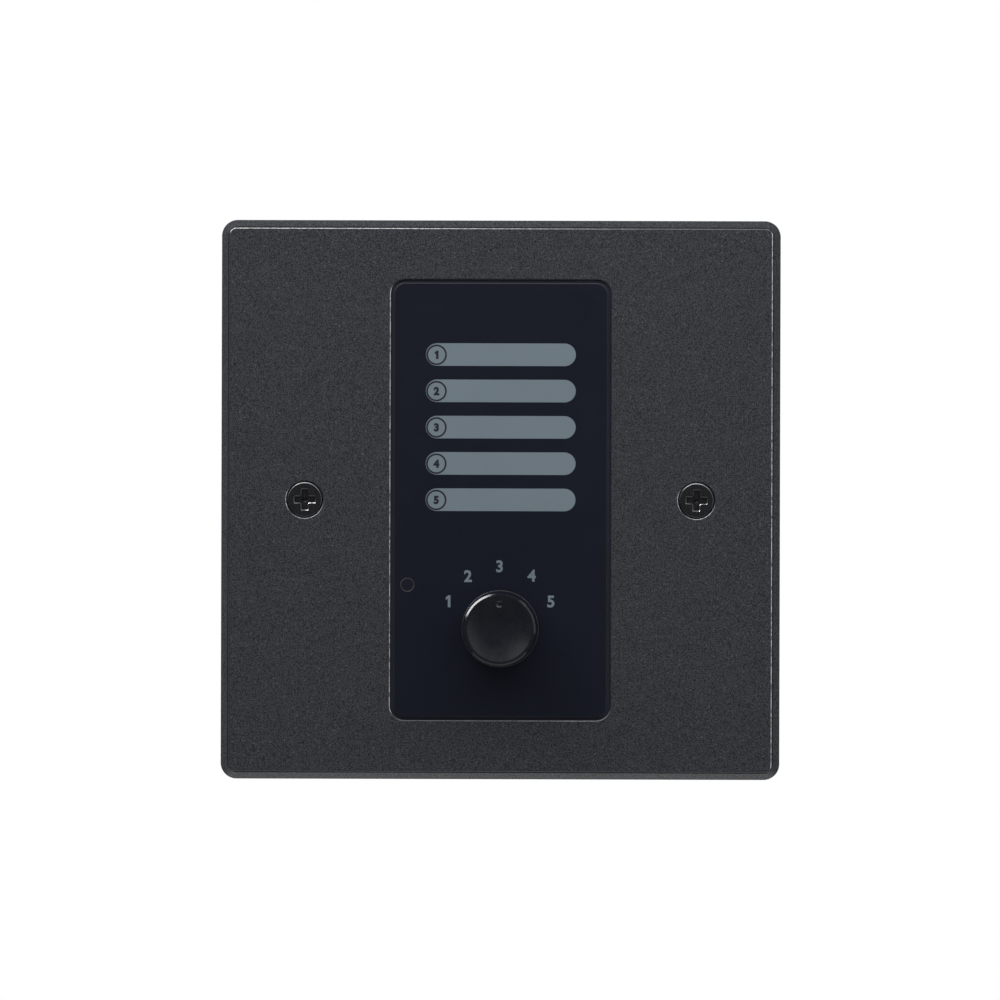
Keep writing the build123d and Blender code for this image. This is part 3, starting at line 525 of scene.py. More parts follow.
def banded_lacquer(colours, middle_z, half):
    """The resistors' coating, with four rings of colour across it."""
    sockets = {"Coat Weight": 0.4, "Coat Roughness": 0.12}
    coating = Finish("resistor_lacquer", colours.lacquer, 0.28, sockets)
    place = coating.node("TexCoord").outputs["Object"]
    along = coating.between(coating.parts(place)["Z"], middle_z - half, middle_z + half)
    ramp = coating.node("ValToRGB", {"Fac": along})
    ramp.color_ramp.interpolation = "CONSTANT"
    stops = ramp.color_ramp.elements
    stops.remove(stops[-1])
    stops[0].color = (*colours.lacquer, 1.0)
    for start, end, tone in RESISTOR_RINGS:
        stops.new(start).color = (*tone, 1.0)
        stops.new(end).color = (*colours.lacquer, 1.0)
    grime = coating.noise(place, 1500.0)
    dirty = coating.between(grime, 0.4, 0.8, 0.0, 0.35)
    coating.drive("Base Color", coating.blend(dirty, ramp.outputs["Color"], colours.grime))
    coating.relief(grime, 8e-6, strength=0.5)
    return coating.material


def new_piece(name, data, body, material):
    """Put a mesh or a curve in the scene as a piece that rides on a body."""
    data.materials.append(material)
    piece = bpy.data.objects.new(name, data)
    bpy.context.scene.collection.objects.link(piece)
    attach(piece, body)
    return piece


def finished_mesh(name, shape, smooth_angle=35.0):
    """Turn a bmesh into a mesh with its faces outward and soft where it isn't creased."""
    bmesh.ops.remove_doubles(shape, verts=shape.verts, dist=1e-8)
    bmesh.ops.recalc_face_normals(shape, faces=shape.faces)
    mesh = bpy.data.meshes.new(name)
    shape.to_mesh(mesh)
    shape.free()
    mesh.shade_smooth()
    mesh.set_sharp_from_angle(angle=radians(smooth_angle))
    return mesh


def steps(span, count):
    """So many values, evenly spread from zero to a span."""
    return [span * step / (count - 1) for step in range(count)]


def round_point(shape, middle, radius, y, share):
    """A point on a circle about an axis along Y, at a share of the way round."""
    bearing = tau * share
    return shape.verts.new((middle.x + radius * cos(bearing), y, middle.z + radius * sin(bearing)))


def skin(shape, rows, close_start=False, close_end=False):
    """Join closed rows of points with faces, and close the ends that are asked for."""
    for first, second in zip(rows, rows[1:]):
        for step in range(len(first)):
            after = (step + 1) % len(first)
            shape.faces.new((first[step], first[after], second[after], second[step]))
    if close_start:
        shape.faces.new(rows[0])
    if close_end:
        shape.faces.new(rows[-1])


def turn(shape, profile, middle, sides, close_end=False):
    """Turn a profile of (radius, Y) about an axis along Y through a middle point."""
    rows = [
        [round_point(shape, middle, radius, y, side / sides) for side in range(sides)]
        for radius, y in profile
    ]
    skin(shape, rows, close_end=close_end)
    return rows


def ribbon(shape, points, width, y, height):
    """A flat strip of a width along points of X and Z, standing out of a face at y."""
    points = [Vector(point) for point in points]
    ways = [(after - before).normalized() for before, after in zip(points, points[1:])]
    sides = []
    for point, way_in, way_out in zip(points, ways[:1] + ways, ways + ways[-1:]):
        along = (way_in + way_out).normalized()
        across = Vector((-along.y, along.x))
        half = width / 2 / max(across.dot(Vector((-way_out.y, way_out.x))), 0.3)
        corners = (point + across * half, point - across * half)
        sides.append(
            [shape.verts.new((corner.x, y + lift, corner.y)) for lift in (0.0, height) for corner in corners]
        )
    for first, second in zip(sides, sides[1:]):
        # The top, the left edge and the right edge
        for one, other in ((2, 3), (0, 2), (3, 1)):
            shape.faces.new((first[one], first[other], second[other], second[one]))
    for end in (sides[0], sides[-1]):
        shape.faces.new((end[0], end[1], end[3], end[2]))


def dress(material, *names):
    """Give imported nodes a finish."""
    for name in names:
        nodes[name].material_slots[0].material = material


class WALLCONTROLLER_OT_stage(bpy.types.Operator):
    """Set the camera, the lamps, the white surround and the floor"""

    bl_idname = "wall_controller.stage"
    bl_label = "Set the stage"

    def execute(self, context):
        scene = context.scene
        settings = scene.wall_controller
        scene.view_settings.view_transform = "Standard"
        self.place_camera(scene, settings.stage)
        self.light_room(scene, settings.stage)
        for name, lamp in LAMPS.items():
            self.hang_lamp(scene, name, getattr(settings.stage, name), lamp)
        self.lay_floor(scene, settings.stage, settings.colours.floor)
        return {"FINISHED"}

    def place_camera(self, scene, stage):
        """The camera stands a little to the right of the plate and a little above it."""
        target = Vector((stage.camera_aim, plate_y, 0.0))
        side, rise = stage.camera_side, stage.camera_rise
        way = Vector((sin(side) * cos(rise), -cos(side) * cos(rise), sin(rise)))
        data = bpy.data.cameras.new("photo_camera")
        data.lens = stage.camera_lens
        data.sensor_width = 36.0
        data.clip_start = 0.01
        camera = bpy.data.objects.new("photo_camera", data)
        scene.collection.objects.link(camera)
        camera.location = target + stage.camera_distance * way
        look = (-way).to_track_quat("-Z", "Y").to_matrix()
        camera.rotation_euler = (look @ Matrix.Rotation(stage.camera_roll, 3, "Z")).to_euler()
        scene.camera = camera

    def light_room(self, scene, stage):
        """White all round for the eye, and a room that is white behind the plate and dim before it."""
        white = (1.0, 1.0, 1.0)
        scene.world = bpy.data.worlds.new("studio")
        scene.world.use_nodes = True
        room = Wiring(scene.world.node_tree)
        room.tree.nodes.clear()
        depth = room.parts(room.node("TexCoord").outputs["Generated"])["Y"]
        path = room.node("LightPath").outputs
        front = room.between(path["Is Diffuse Ray"], 0.0, 1.0, stage.room_gloss, stage.room_fill)
        lit = room.node("Background", {"Color": room.blend(room.between(depth, 0.3, 0.8), front, white)})
        surround = room.node("Background", {"Color": (*white, 1.0), "Strength": 1.0})
        seen = room.math("MAXIMUM", path["Is Camera Ray"], path["Is Transmission Ray"])
        shades = {1: lit.outputs["Background"], 2: surround.outputs["Background"]}
        shown = room.node("MixShader", {"Fac": seen, **shades})
        room.node("OutputWorld", {"Surface": shown.outputs["Shader"]})

    def hang_lamp(self, scene, name, power, lamp):
        """A flat lamp, aimed at the middle of the plate."""
        bearing, tilt = radians(lamp.bearing), radians(lamp.tilt)
        away = Vector((cos(bearing) * sin(tilt), -cos(tilt), sin(bearing) * sin(tilt)))
        along = Vector((-sin(bearing), 0.0, cos(bearing)))
        data = bpy.data.lights.new(name, "AREA")
        data.energy = power
        data.shape = lamp.outline
        data.size, data.size_y = lamp.size
        hung = bpy.data.objects.new(name, data)
        scene.collection.objects.link(hung)
        hung.location = away * lamp.distance
        hung.rotation_euler = Matrix((along, away.cross(along), away)).transposed().to_euler()
        hung.visible_camera = False

    def lay_floor(self, scene, stage, tone):
        """A plain pale round floor, well below the plate, which glossy pieces show as pale too."""
        shape = bmesh.new()
        bmesh.ops.create_circle(shape, cap_ends=True, segments=96, radius=stage.floor_radius)
        mesh = bpy.data.meshes.new("floor")
        shape.to_mesh(mesh)
        shape.free()
        pale = Finish("pale_floor", tone, 0.8)
        grain = pale.noise(pale.place(), 40.0, detail=2.0)
        pale.drive("Roughness", pale.between(grain, 0.3, 0.7, 0.75, 0.85))
        glossy = pale.node("LightPath").outputs["Is Glossy Ray"]
        glow = pale.node("Emission", {"Strength": stage.floor_gloss}).outputs["Emission"]
        shown = pale.node("MixShader", {"Fac": glossy, 1: pale.shader.outputs["BSDF"], 2: glow})
        output = pale.tree.nodes["Material Output"]
        pale.tree.links.new(shown.outputs["Shader"], output.inputs["Surface"])
        mesh.materials.append(pale.material)
        floor = bpy.data.objects.new("floor", mesh)
        scene.collection.objects.link(floor)
        floor.location.z = -stage.floor_drop


class WALLCONTROLLER_OT_front(bpy.types.Operator):
    """Finish the wall plate, the panel, the film, the label strips and the knob"""

    bl_idname = "wall_controller.front"
    bl_label = "Finish the front"

    def execute(self, context):
        colours = context.scene.wall_controller.colours
        dress(speckled_plate(colours), "wall_plate")
        panel = moulded(
            "panel_plastic",
            colours.panel,
            roughness=0.42,
            grain=2600.0,
            depth=12e-6,
            edge=80e-6,
            sockets={"Specular IOR Level": 0.3},
        )
        dress(panel, "control_panel")
        film = moulded(
            "overlay_film",
            colours.film,
            roughness=0.36,
            grain=5200.0,
            depth=2e-6,
            spread=0.06,
            sockets={"Specular IOR Level": 0.22},
        )
        dress(film, "graphic_overlay")
        label = moulded("label_film", colours.label, roughness=0.62, grain=4200.0, depth=2e-6, spread=0.03)
        dress(label, *[f"label_strip_{number}" for number in range(1, 6)])
        dress(satin_knob(colours), "knob")
        self.knob_lip(colours)
        self.seal(colours)
        return {"FINISHED"}

    def knob_lip(self, colours):
        """A narrow lip round the foot of the knob, painted a lighter grey than the knob so that it shows as a
        highlight line.
        """
        height, shoulder, bow = 0.0003, 0.00022, 0.0001
        low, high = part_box("knob")
        wall = (high.x - low.x) / 2
        inner = wall - bow / 2
        profile = [(inner, high.y - height)]
        for bend in steps(pi / 2, 7):
            profile.append((inner + bow * sin(bend), high.y - shoulder + bow * (1.0 - cos(bend))))
        profile += [(inner + bow, high.y), (wall - 2 * bow, high.y)]
        shape = bmesh.new()
        turn(shape, profile, knob_axis, 128)
        grey = moulded("knob_lip", colours.knob_lip, roughness=0.36, grain=2600.0, depth=3e-6, spread=0.2)
        new_piece("knob_lip", finished_mesh("knob_lip", shape, 50.0), TURNING, grey)

    def seal(self, colours):
        """A dark navy strip in the gap between the plate and the panel, a little below their faces: painted
        shade that sets the tone of the gap.
        """
        film_corner, sink, depth = 0.00155, 0.0005, 0.0006
        # From the edge of the film to the two edges of the strip
        inside, outside = 0.00018, 0.0006
        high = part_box("graphic_overlay")[1]
        front = plate_y + sink
        back = front + depth
        shape = bmesh.new()
        rows = []
        for grown, y in ((outside, back), (outside, front), (inside, front), (inside, back)):
            row = []
            for corner, (side_x, side_z) in enumerate(((1, 1), (-1, 1), (-1, -1), (1, -1))):
                middle = Vector((side_x * (high.x - film_corner), 0.0, side_z * (high.z - film_corner)))
                for share in steps(0.25, 9):
                    row.append(round_point(shape, middle, film_corner + grown, y, corner / 4 + share))
            rows.append(row)
        skin(shape, rows)
        dark = moulded("gap_seal", colours.seal, roughness=0.6, grain=2600.0, depth=6e-6)
        new_piece("gap_seal", finished_mesh("gap_seal", shape), FIXED, dark)


class WALLCONTROLLER_OT_print(bpy.types.Operator):
    """Print the numerals and rings, and set the sight window in its recess"""

    bl_idname = "wall_controller.print"
    bl_label = "Print the front"

    def execute(self, context):
        settings = context.scene.wall_controller
        colours, sizes = settings.colours, settings.printed
        pale = moulded("dial_print", colours.label, roughness=0.6, grain=4200.0, depth=2e-6, spread=0.03)
        dark = moulded("strip_print", colours.ink, roughness=0.6, grain=4200.0, depth=2e-6, spread=0.03)
        for number, (across, up) in enumerate(NUMERAL_PLACES, start=1):
            place = Vector((knob_axis.x + across, 0.0, knob_axis.z + up))
            curve = self.numeral_curve(f"dial_numeral_{number}", number, sizes.dial_weight)
            self.numeral(curve, sizes.numeral_height, place, sizes.ink_thickness, pale, "label_film")
        # How far the rings stand left of the strips' round ends and below their middle
        ring_left, ring_drop = 0.0001, 0.00005
        for number, (low, high) in enumerate(strips, start=1):
            end_radius = (high.z - low.z) / 2
            place = Vector((low.x + end_radius - ring_left, 0.0, (low.z + high.z) / 2 - ring_drop))
            curve = self.numeral_curve(f"strip_numeral_{number}", number, sizes.strip_weight)
            self.numeral(curve, sizes.strip_numeral_height, place, sizes.ink_thickness, dark, "overlay_film")
            self.ring(f"strip_ring_{number}", place, sizes, dark)
        self.sight_window(colours)
        return {"FINISHED"}

    def numeral_curve(self, name, number, weight):
        """The outline of a numeral with its strokes thickened, where a one gets a flag."""
        if number == 1:
            curve = bpy.data.curves.new(name, "CURVE")
            curve.dimensions = "2D"
            curve.fill_mode = "BOTH"
            spline = curve.splines.new("POLY")
            spline.points.add(len(ONE_OUTLINE) - 1)
            for point, (across, up) in zip(spline.points, ONE_OUTLINE):
                point.co = (across, up, 0.0, 1.0)
            spline.use_cyclic_u = True
        else:
            curve = bpy.data.curves.new(name, "FONT")
            curve.body = str(number)
        curve.offset = weight
        curve.extrude = 0.5
        return curve

    def numeral(self, curve, height, place, thickness, ink, slot):
        """One upright numeral of a height, with its middle at a place on the film."""
        name = curve.name
        source = bpy.data.objects.new(f"{name}_outline", curve)
        mesh = bpy.data.meshes.new_from_object(source)
        bpy.data.objects.remove(source)
        corners = [vertex.co for vertex in mesh.vertices]
        low, high = (
            Vector([limit(corner[axis] for corner in corners) for axis in range(3)]) for limit in (min, max)
        )
        middle = (low + high) / 2
        scale = height / (high.y - low.y)
        for vertex in mesh.vertices:
            across, up, out = vertex.co - middle
            depth = film_y - (0.5 + out) * thickness
            vertex.co = (place.x + across * scale, depth, place.z + up * scale)
        mesh.name = name
        new_piece(name, mesh, FIXED, ink)

    def ring(self, name, place, sizes, ink):
        """A thin ring round a strip's numeral."""
        outer = sizes.ring_radius
        inner = outer - sizes.ring_line
        face = film_y - sizes.ink_thickness
        shape = bmesh.new()
        turn(shape, ((outer, film_y), (outer, face), (inner, face), (inner, film_y)), place, 96)
        new_piece(name, finished_mesh(name, shape), FIXED, ink)

    def sight_window(self, colours):
        """A small dark window, flush with the film, in a thin grey ring."""
        line, gap, crown, swell = 0.00014, 0.000005, 0.00004, 0.00003
        ring_back, window_back = film_y + 0.0003, film_y + 0.00025
        outer, inner = SIGHT_RADIUS - gap, SIGHT_RADIUS - line
        profile = [(outer, ring_back)]
        for bend in steps(pi, 9):
            profile.append((inner + (outer - inner) * (1.0 + cos(bend)) / 2, film_y - crown * sin(bend)))
        profile.append((inner, ring_back))
        shape = bmesh.new()
        turn(shape, profile, SIGHT_MIDDLE, 72)
        grey = moulded(
            "sight_ring", colours.sight_ring, roughness=0.34, grain=2600.0, depth=4e-6, spread=0.05
        )
        new_piece("sight_ring", finished_mesh("sight_ring", shape, 60.0), FIXED, grey)
        profile = [(inner, window_back)]
        for share in steps(1.0, 9)[:-1]:
            profile.append((inner * (1.0 - share), film_y + crown - swell * sin(share * pi / 2)))
        shape = bmesh.new()
        turn(shape, profile, SIGHT_MIDDLE, 72, close_end=True)
        clear = {"Coat Weight": 0.3}
        tinted = moulded(
            "sight_window", colours.film, roughness=0.22, grain=5200.0, depth=1e-6, spread=0.05, sockets=clear
        )
        new_piece("sight_window", finished_mesh("sight_window", shape, 60.0), FIXED, tinted)


class WALLCONTROLLER_OT_screws(bpy.types.Operator):
    """Model the two fixing screws with their cross slots and threads"""

    bl_idname = "wall_controller.screws"
    bl_label = "Model the fixing screws"

    def execute(self, context):
        settings = context.scene.wall_controller
        black = black_screw(settings.colours)
        for side, place_x, turned in (("left", -screw_x, 0.5), ("right", screw_x, -1.5)):
            mesh = self.screw_mesh(f"plate_screw_{side}", place_x, radians(turned), settings.screws)
            piece = new_piece(f"plate_screw_{side}", mesh, FIXED, black)
            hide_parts("plate_screws")
        return {"FINISHED"}

    def screw_mesh(self, name, place_x, turned, sizes):
        """A screw along Y: head with a cross slot, plain neck and thread."""
        middle = Vector((place_x, 0.0, 0.0))
        rim = head_radius + sizes.head_spread
        face_rim = rim - sizes.head_edge
        bevel_y = head_y + sizes.head_edge * 0.8
        head_back, broken = -0.0049, 0.00002
        profile = (
            (sizes.neck_radius, 0.0),
            (sizes.neck_radius, head_back),
            (rim, head_back),
            (rim, bevel_y + 2 * broken),
            (rim - broken, bevel_y),
            (face_rim, head_y + broken),
            (face_rim - 3 * broken, head_y),
            (face_rim - 6 * broken, head_y),
        )
        shape = bmesh.new()
        rows = turn(shape, profile, middle, 96)
        self.cut_cross(shape, rows[-1], middle, turned, sizes)
        self.add_thread(shape, middle, sizes)
        return finished_mesh(name, shape, 28.0)

    def cross_outline(self, grown, turned, sizes):
        """The outline of the cross slot, grown all round, with rounded ends and inner corners."""
        half_span = sizes.cross_span / 2 + grown
        half_width = sizes.cross_width / 2 + grown
        end_radius = 0.00012 + grown / 2
        fillet = 0.00028 - grown
        arm = []
        for bend in steps(pi / 2, 4):
            arm.append((half_span - end_radius * (1 - sin(bend)), -half_width + end_radius * (1 - cos(bend))))
        for bend in steps(pi / 2, 4):
            arm.append((half_span - end_radius * (1 - cos(bend)), half_width - end_radius * (1 - sin(bend))))
        for bend in steps(pi / 2, 5):
            arm.append((half_width + fillet * (1 - sin(bend)), half_width + fillet * (1 - cos(bend))))
        outline = []
        for quarter in range(4):
            spin = Matrix.Rotation(turned + quarter * pi / 2, 2)
            outline += [spin @ Vector(point) for point in arm]
        return outline

    def cut_cross(self, shape, rim, middle, turned, sizes):
        """Fill the head's face round a cross slot, and sink the slot to a floor with a round pit."""
        # How much wider than the slot each row of its wall is, and how deep the row lies
        wall = ((0.00008, 0.0), (-0.00004, 0.0001), (-0.00012, 0.0005), (-0.00019, sizes.cross_depth))
        rows = [
            [
                shape.verts.new((middle.x + point.x, head_y + sunk, middle.z + point.y))
                for point in self.cross_outline(grown, turned, sizes)
            ]
            for grown, sunk in wall
        ]
        skin(shape, rows)
        floor_y = head_y + sizes.cross_depth
        pit_radius, pit_point, pit_depth = 0.00048, 0.00003, 0.0004
        pit_profile = ((pit_radius, floor_y), (pit_point, floor_y + pit_depth))
        pit = turn(shape, pit_profile, middle, 32, close_end=True)
        for outer, inner in ((rim, rows[0]), (rows[-1], pit[0])):
            edges = [
                shape.edges.get(ends) or shape.edges.new(ends)
                for row in (outer, inner)
                for ends in zip(row, row[1:] + row[:1])
            ]
            bmesh.ops.triangle_fill(shape, use_beauty=True, use_dissolve=False, edges=edges)

    def add_thread(self, shape, middle, sizes):
        """A thread whose ridge climbs one pitch in each turn and fades at both ends."""
        sides, rows_per_turn = 40, 8
        ridge_share, tip_share, tip_length = 0.42, 0.72, 0.0003
        pitch = sizes.thread_pitch
        root = sizes.thread_radius - sizes.thread_depth
        end = screw_box[1].y
        run = end - tip_length
        rows = []
        for y in steps(run, int(run / pitch * rows_per_turn) + 1):
            fade = min(1.0, y / pitch, (run - y) / (2 * pitch))
            row = []
            for side in range(sides):
                phase = (y / pitch - side / sides) % 1.0
                ridge = max(0.0, 1.0 - abs(phase - 0.5) / ridge_share) * fade
                row.append(round_point(shape, middle, root + sizes.thread_depth * ridge, y, side / sides))
            rows.append(row)
        tip = root * tip_share
        rows.append([round_point(shape, middle, tip, end, side / sides) for side in range(sides)])
        skin(shape, rows, close_start=True, close_end=True)


class WALLCONTROLLER_OT_switch(bpy.types.Operator):
    """Finish the bracket, the small screws and the rotary switch"""

    bl_idname = "wall_controller.switch"
    bl_label = "Finish the bracket and the switch"

    def execute(self, context):
        colours = context.scene.wall_controller.colours
        rolled, drawn = (1.0, 1.0, 0.05), (0.1, 1.0, 1.0)
        bracket = plated("zinc_bracket", colours.zinc, roughness=0.36, stretch=rolled, edge=120e-6)
        screw = plated("zinc_screw", colours.zinc, roughness=0.30, edge=60e-6)
        casting = plated("die_cast_zinc", colours.casting, roughness=0.38, edge=80e-6)
        spring = plated("spring_steel", colours.spring, roughness=0.25, stretch=drawn)
        gold = plated("contact_gold", colours.gold, roughness=0.24)
        black = moulded(
            "switch_plastic", colours.switch, roughness=0.46, grain=3000.0, depth=10e-6, edge=100e-6
        )
        brown = moulded(
            "wafer_phenolic",
            colours.phenolic,
            roughness=0.6,
            grain=1400.0,
            depth=8e-6,
            spread=0.2,
            edge=60e-6,
        )
        white = moulded(
            "rotor_acetal", colours.acetal, roughness=0.5, grain=2600.0, depth=6e-6, edge=100e-6
        )
        dress(bracket, "mounting_bracket")
        dress(screw, "bracket_screws", "board_screws")
        dress(casting, "switch_bushing", "switch_shaft")
        dress(spring, "detent_spring", "knob_spring", "shaft_clip")
        dress(gold, "switch_terminals", "rotor_contact", "upper_socket_contacts", "lower_socket_contacts")
        dress(black, "switch_housing")
        dress(brown, "contact_wafer")
        dress(white, "switch_rotor")
        return {"FINISHED"}


class WALLCONTROLLER_OT_board(bpy.types.Operator):
    """Finish the board and the sockets, and add tracks, print, pads and solder"""

    bl_idname = "wall_controller.board"
    bl_label = "Finish the board"

    def execute(self, context):
        settings = context.scene.wall_controller
        colours, sizes = settings.colours, settings.board
        dress(masked_board(colours), "circuit_board")
        black = moulded(
            "socket_plastic", colours.socket, roughness=0.34, grain=2400.0, depth=6e-6, edge=120e-6
        )
        dress(black, "upper_socket_shell", "lower_socket_shell")
        self.pins = [(knob_axis.x, knob_axis.z)]
        for bearing in PIN_BEARINGS:
            across, up = sin(radians(bearing)), cos(radians(bearing))
            self.pins.append((knob_axis.x + sizes.pin_circle * across, knob_axis.z + sizes.pin_circle * up))
        self.lead_top = resistor_box[1].z - sizes.lead_radius
        self.lead_low = resistor_box[0].z + sizes.lead_radius
        self.tracks(sizes, colours)
        self.outlines(sizes, colours)
        self.pads(sizes, colours)
        return {"FINISHED"}

    def tracks(self, sizes, colours):
        """Tracks from the switch to the resistors and up to the sockets."""
        # Side steps of the tracks from the top terminal, the common terminal and the common line
        top_step, common_step, line_step = 0.0011, 0.00115, 0.0024
        # Where the top terminal's track bends, how far tracks reach under a socket, and the last bend
        top_run, under_socket, line_bend, line_slant = 0.0021, 0.001, 0.0012, 0.0026
        gap_overlap, socket_pitch = 0.0004, 0.00102
        top, low = self.lead_top, self.lead_low
        common, far_left, left, upper, right, far_right = self.pins
        first, second, third, fourth, last = LEAD_COLUMNS
        socket_low = lower_socket_box[0].z
        line_x, bend_z = last + line_step, socket_low - line_bend
        routes = [
            [far_left, (first, far_left[1] - (far_left[0] - first)), (first, top)],
            [far_right, (last, far_right[1] - (last - far_right[0])), (last, top)],
            [left, (left[0], top + (left[0] - second)), (second, top)],
            [right, (right[0], top + (fourth - right[0])), (fourth, top)],
            [
                upper,
                (0.0, upper[1] - top_run),
                (top_step, upper[1] - top_run - top_step),
                (top_step, top + top_step),
                (third, top),
            ],
            [common, (-common_step, common[1] + common_step), (-common_step, socket_low + under_socket)],
            [(first, low), (last, low)],
            [
                (last, low),
                (line_x, low + line_step),
                (line_x, bend_z),
                (line_x - line_slant, bend_z + line_slant),
            ],
        ]
        gap_low = lower_socket_box[1].z - gap_overlap
        gap_high = upper_socket_box[0].z + gap_overlap
        for pin in range(8):
            x = (pin - 3.5) * socket_pitch
            routes.append([(x, gap_low), (x, gap_high)])
        shape = bmesh.new()
        for route in routes:
            ribbon(shape, route, sizes.track_width, board_y, sizes.track_height)
        coated = {"Coat Weight": 0.35}
        copper = moulded(
            "board_track", colours.track, roughness=0.24, grain=900.0, depth=4e-6, spread=0.1, sockets=coated
        )
        new_piece("board_tracks", finished_mesh("board_tracks", shape), FIXED, copper)

    def outlines(self, sizes, colours):
        """White outlines round the sockets and the resistors."""
        margin, half_width, half_length = 0.0003, 0.0014, 0.0034
        boxes = [
            (low.x - margin, low.z - margin, high.x + margin, high.z + margin)
            for low, high in (upper_socket_box, lower_socket_box)
        ]
        middle = (self.lead_top + self.lead_low) / 2
        for column in LEAD_COLUMNS:
            boxes.append(
                (column - half_width, middle - half_length, column + half_width, middle + half_length)
            )
        shape = bmesh.new()
        for left, bottom, right, top in boxes:
            corners = [(left, bottom), (right, bottom), (right, top), (left, top)]
            for ends in zip(corners, corners[1:] + corners[:1]):
                ribbon(shape, ends, sizes.print_width, board_y, sizes.track_height * 0.8)
        white = moulded(
            "board_print", colours.board_print, roughness=0.7, grain=2600.0, depth=3e-6, spread=0.05
        )
        new_piece("board_outlines", finished_mesh("board_outlines", shape), FIXED, white)

    def pads(self, sizes, colours):
        """Tinned rings round the wires and cones of solder round the terminals."""
        tin = plated("pad_solder", colours.solder, roughness=0.26)
        cone = [
            (
                sizes.pin_radius * 1.02 + (sizes.pad_radius - sizes.pin_radius) * (1.0 - share) ** 2.2,
                board_y + sizes.solder_height * share,
            )
            for share in steps(1.0, 9)
        ]
        cone.append((sizes.pin_radius * 0.6, board_y + sizes.solder_height * 1.02))
        # Radius and Y of a tinned ring, from its rim to the wire
        ring = (
            (0.00062, board_y),
            (0.00060, board_y + 0.00004),
            (0.00040, board_y + 0.00007),
            (sizes.lead_radius * 0.9, board_y + 0.00022),
        )
        shape = bmesh.new()
        for x, z in self.pins:
            turn(shape, cone, Vector((x, 0.0, z)), 32)
        for column in LEAD_COLUMNS:
            for z in (self.lead_top, self.lead_low):
                turn(shape, ring, Vector((column, 0.0, z)), 28)
        new_piece("board_solder", finished_mesh("board_solder", shape, 50.0), FIXED, tin)


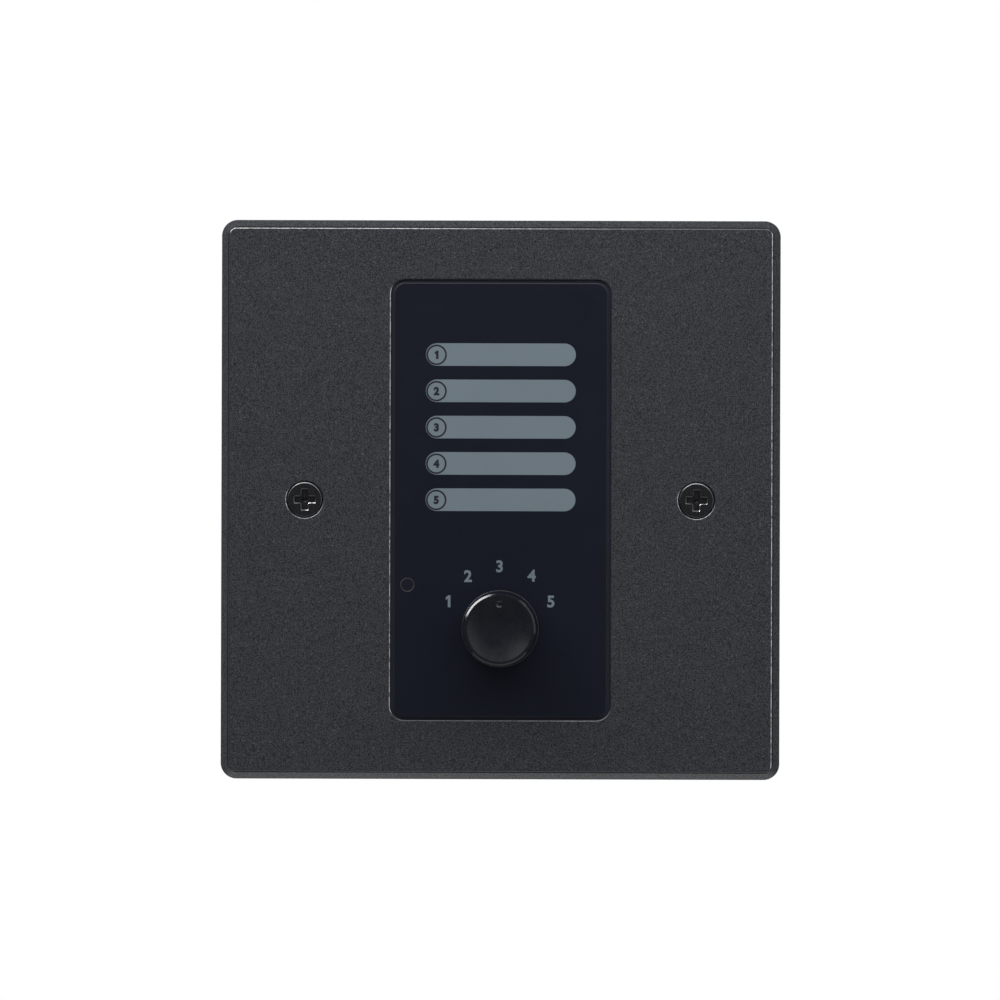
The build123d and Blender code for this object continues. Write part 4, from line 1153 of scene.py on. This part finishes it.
class WALLCONTROLLER_OT_resistors(bpy.types.Operator):
    """Model the five resistors with coated bodies, colour rings and bent wires"""

    bl_idname = "wall_controller.resistors"
    bl_label = "Model the resistors"

    def execute(self, context):
        settings = context.scene.wall_controller
        colours, sizes = settings.colours, settings.board
        low, high = resistor_box
        middle_z = (low.z + high.z) / 2
        half_span = high.z - sizes.lead_radius - middle_z
        lacquer = banded_lacquer(colours, middle_z, sizes.resistor_half)
        tinned = plated("resistor_wire", colours.solder, roughness=0.28)
        for number, column in enumerate(LEAD_COLUMNS, start=1):
            middle = Vector((column, high.y - sizes.resistor_end, middle_z))
            mesh = self.body_mesh(f"resistor_{number}", middle, sizes)
            body = new_piece(f"resistor_{number}", mesh, FIXED, lacquer)
            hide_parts("ladder_resistors")
            curve = self.wire_curve(f"resistor_wire_{number}", middle, half_span, sizes)
            wire = new_piece(f"resistor_wire_{number}", curve, FIXED, tinned)
            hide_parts("ladder_resistors")
        return {"FINISHED"}

    def body_mesh(self, name, middle, sizes):
        """A coated body along Z with thicker rounded ends."""
        sides = 40
        # Shares of the half length where the thick ends start to swell and where they start to close
        swell_start, swell_run, close_start = 0.50, 0.16, 0.86
        neck_radius = 0.00026
        shape = bmesh.new()
        rows = []
        for step in range(41):
            along = -1.0 + 2.0 * step / 40
            swell = min(1.0, max(0.0, (abs(along) - swell_start) / swell_run))
            swell = swell * swell * (3.0 - 2.0 * swell)
            radius = sizes.resistor_waist + (sizes.resistor_end - sizes.resistor_waist) * swell
            closing = max(0.0, abs(along) - close_start) / (1.0 - close_start)
            radius = max(radius * max(0.0, 1.0 - closing**2.6) ** 0.5, neck_radius)
            z = middle.z + along * sizes.resistor_half
            rows.append(
                [
                    shape.verts.new((middle.x + radius * cos(bearing), middle.y + radius * sin(bearing), z))
                    for bearing in steps(tau, sides + 1)[:-1]
                ]
            )
        skin(shape, rows, close_start=True, close_end=True)
        return finished_mesh(name, shape, 60.0)

    def wire_curve(self, name, middle, half_span, sizes):
        """The wire of a resistor: out of its body, over a bend at each end and into the board."""
        curve = bpy.data.curves.new(name, "CURVE")
        curve.dimensions = "3D"
        curve.bevel_depth = sizes.lead_radius
        curve.bevel_resolution = 4
        curve.resolution_u = 10
        curve.use_fill_caps = True
        start, bend, past_board = 0.0029, 0.0006, 0.0002
        into_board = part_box("circuit_board")[0].y - past_board
        route = (
            (middle.y, start),
            (middle.y, half_span - bend),
            (middle.y, half_span),
            (middle.y - bend, half_span),
            (into_board, half_span),
        )
        for end in (-1.0, 1.0):
            spline = curve.splines.new("NURBS")
            spline.points.add(len(route) - 1)
            for point, (y, along) in zip(spline.points, route):
                point.co = (middle.x, y, middle.z + end * along, 1.0)
            spline.order_u = 3
            spline.use_endpoint_u = True
        return curve


OPERATORS = (
    WALLCONTROLLER_OT_stage,
    WALLCONTROLLER_OT_front,
    WALLCONTROLLER_OT_print,
    WALLCONTROLLER_OT_screws,
    WALLCONTROLLER_OT_switch,
    WALLCONTROLLER_OT_board,
    WALLCONTROLLER_OT_resistors,
)


class WALLCONTROLLER_PT_panel(bpy.types.Panel):
    """Lists the steps that dress the controller"""

    bl_idname = "WALLCONTROLLER_PT_panel"
    bl_label = "Audio wall controller"
    bl_space_type = "VIEW_3D"
    bl_region_type = "UI"
    bl_category = "Controller"

    def draw(self, context):
        for operator in OPERATORS:
            self.layout.operator(operator.bl_idname, text=operator.bl_label)


CLASSES = (
    FinishColours,
    PrintSizes,
    ScrewSizes,
    BoardSizes,
    StageSettings,
    ControllerSettings,
    *OPERATORS,
    WALLCONTROLLER_PT_panel,
)


def register():
    """Register the classes and the scene's settings."""
    for item in CLASSES:
        bpy.utils.register_class(item)
    bpy.types.Scene.wall_controller = PointerProperty(type=ControllerSettings)


def unregister():
    """Take the settings and the classes away again."""
    del bpy.types.Scene.wall_controller
    for item in reversed(CLASSES):
        bpy.utils.unregister_class(item)


def main():
    """Dress the whole controller."""
    register()
    bpy.ops.wall_controller.stage()
    bpy.ops.wall_controller.front()
    bpy.ops.wall_controller.print()
    bpy.ops.wall_controller.screws()
    bpy.ops.wall_controller.switch()
    bpy.ops.wall_controller.board()
    bpy.ops.wall_controller.resistors()


if __name__ == "__main__":
    main()
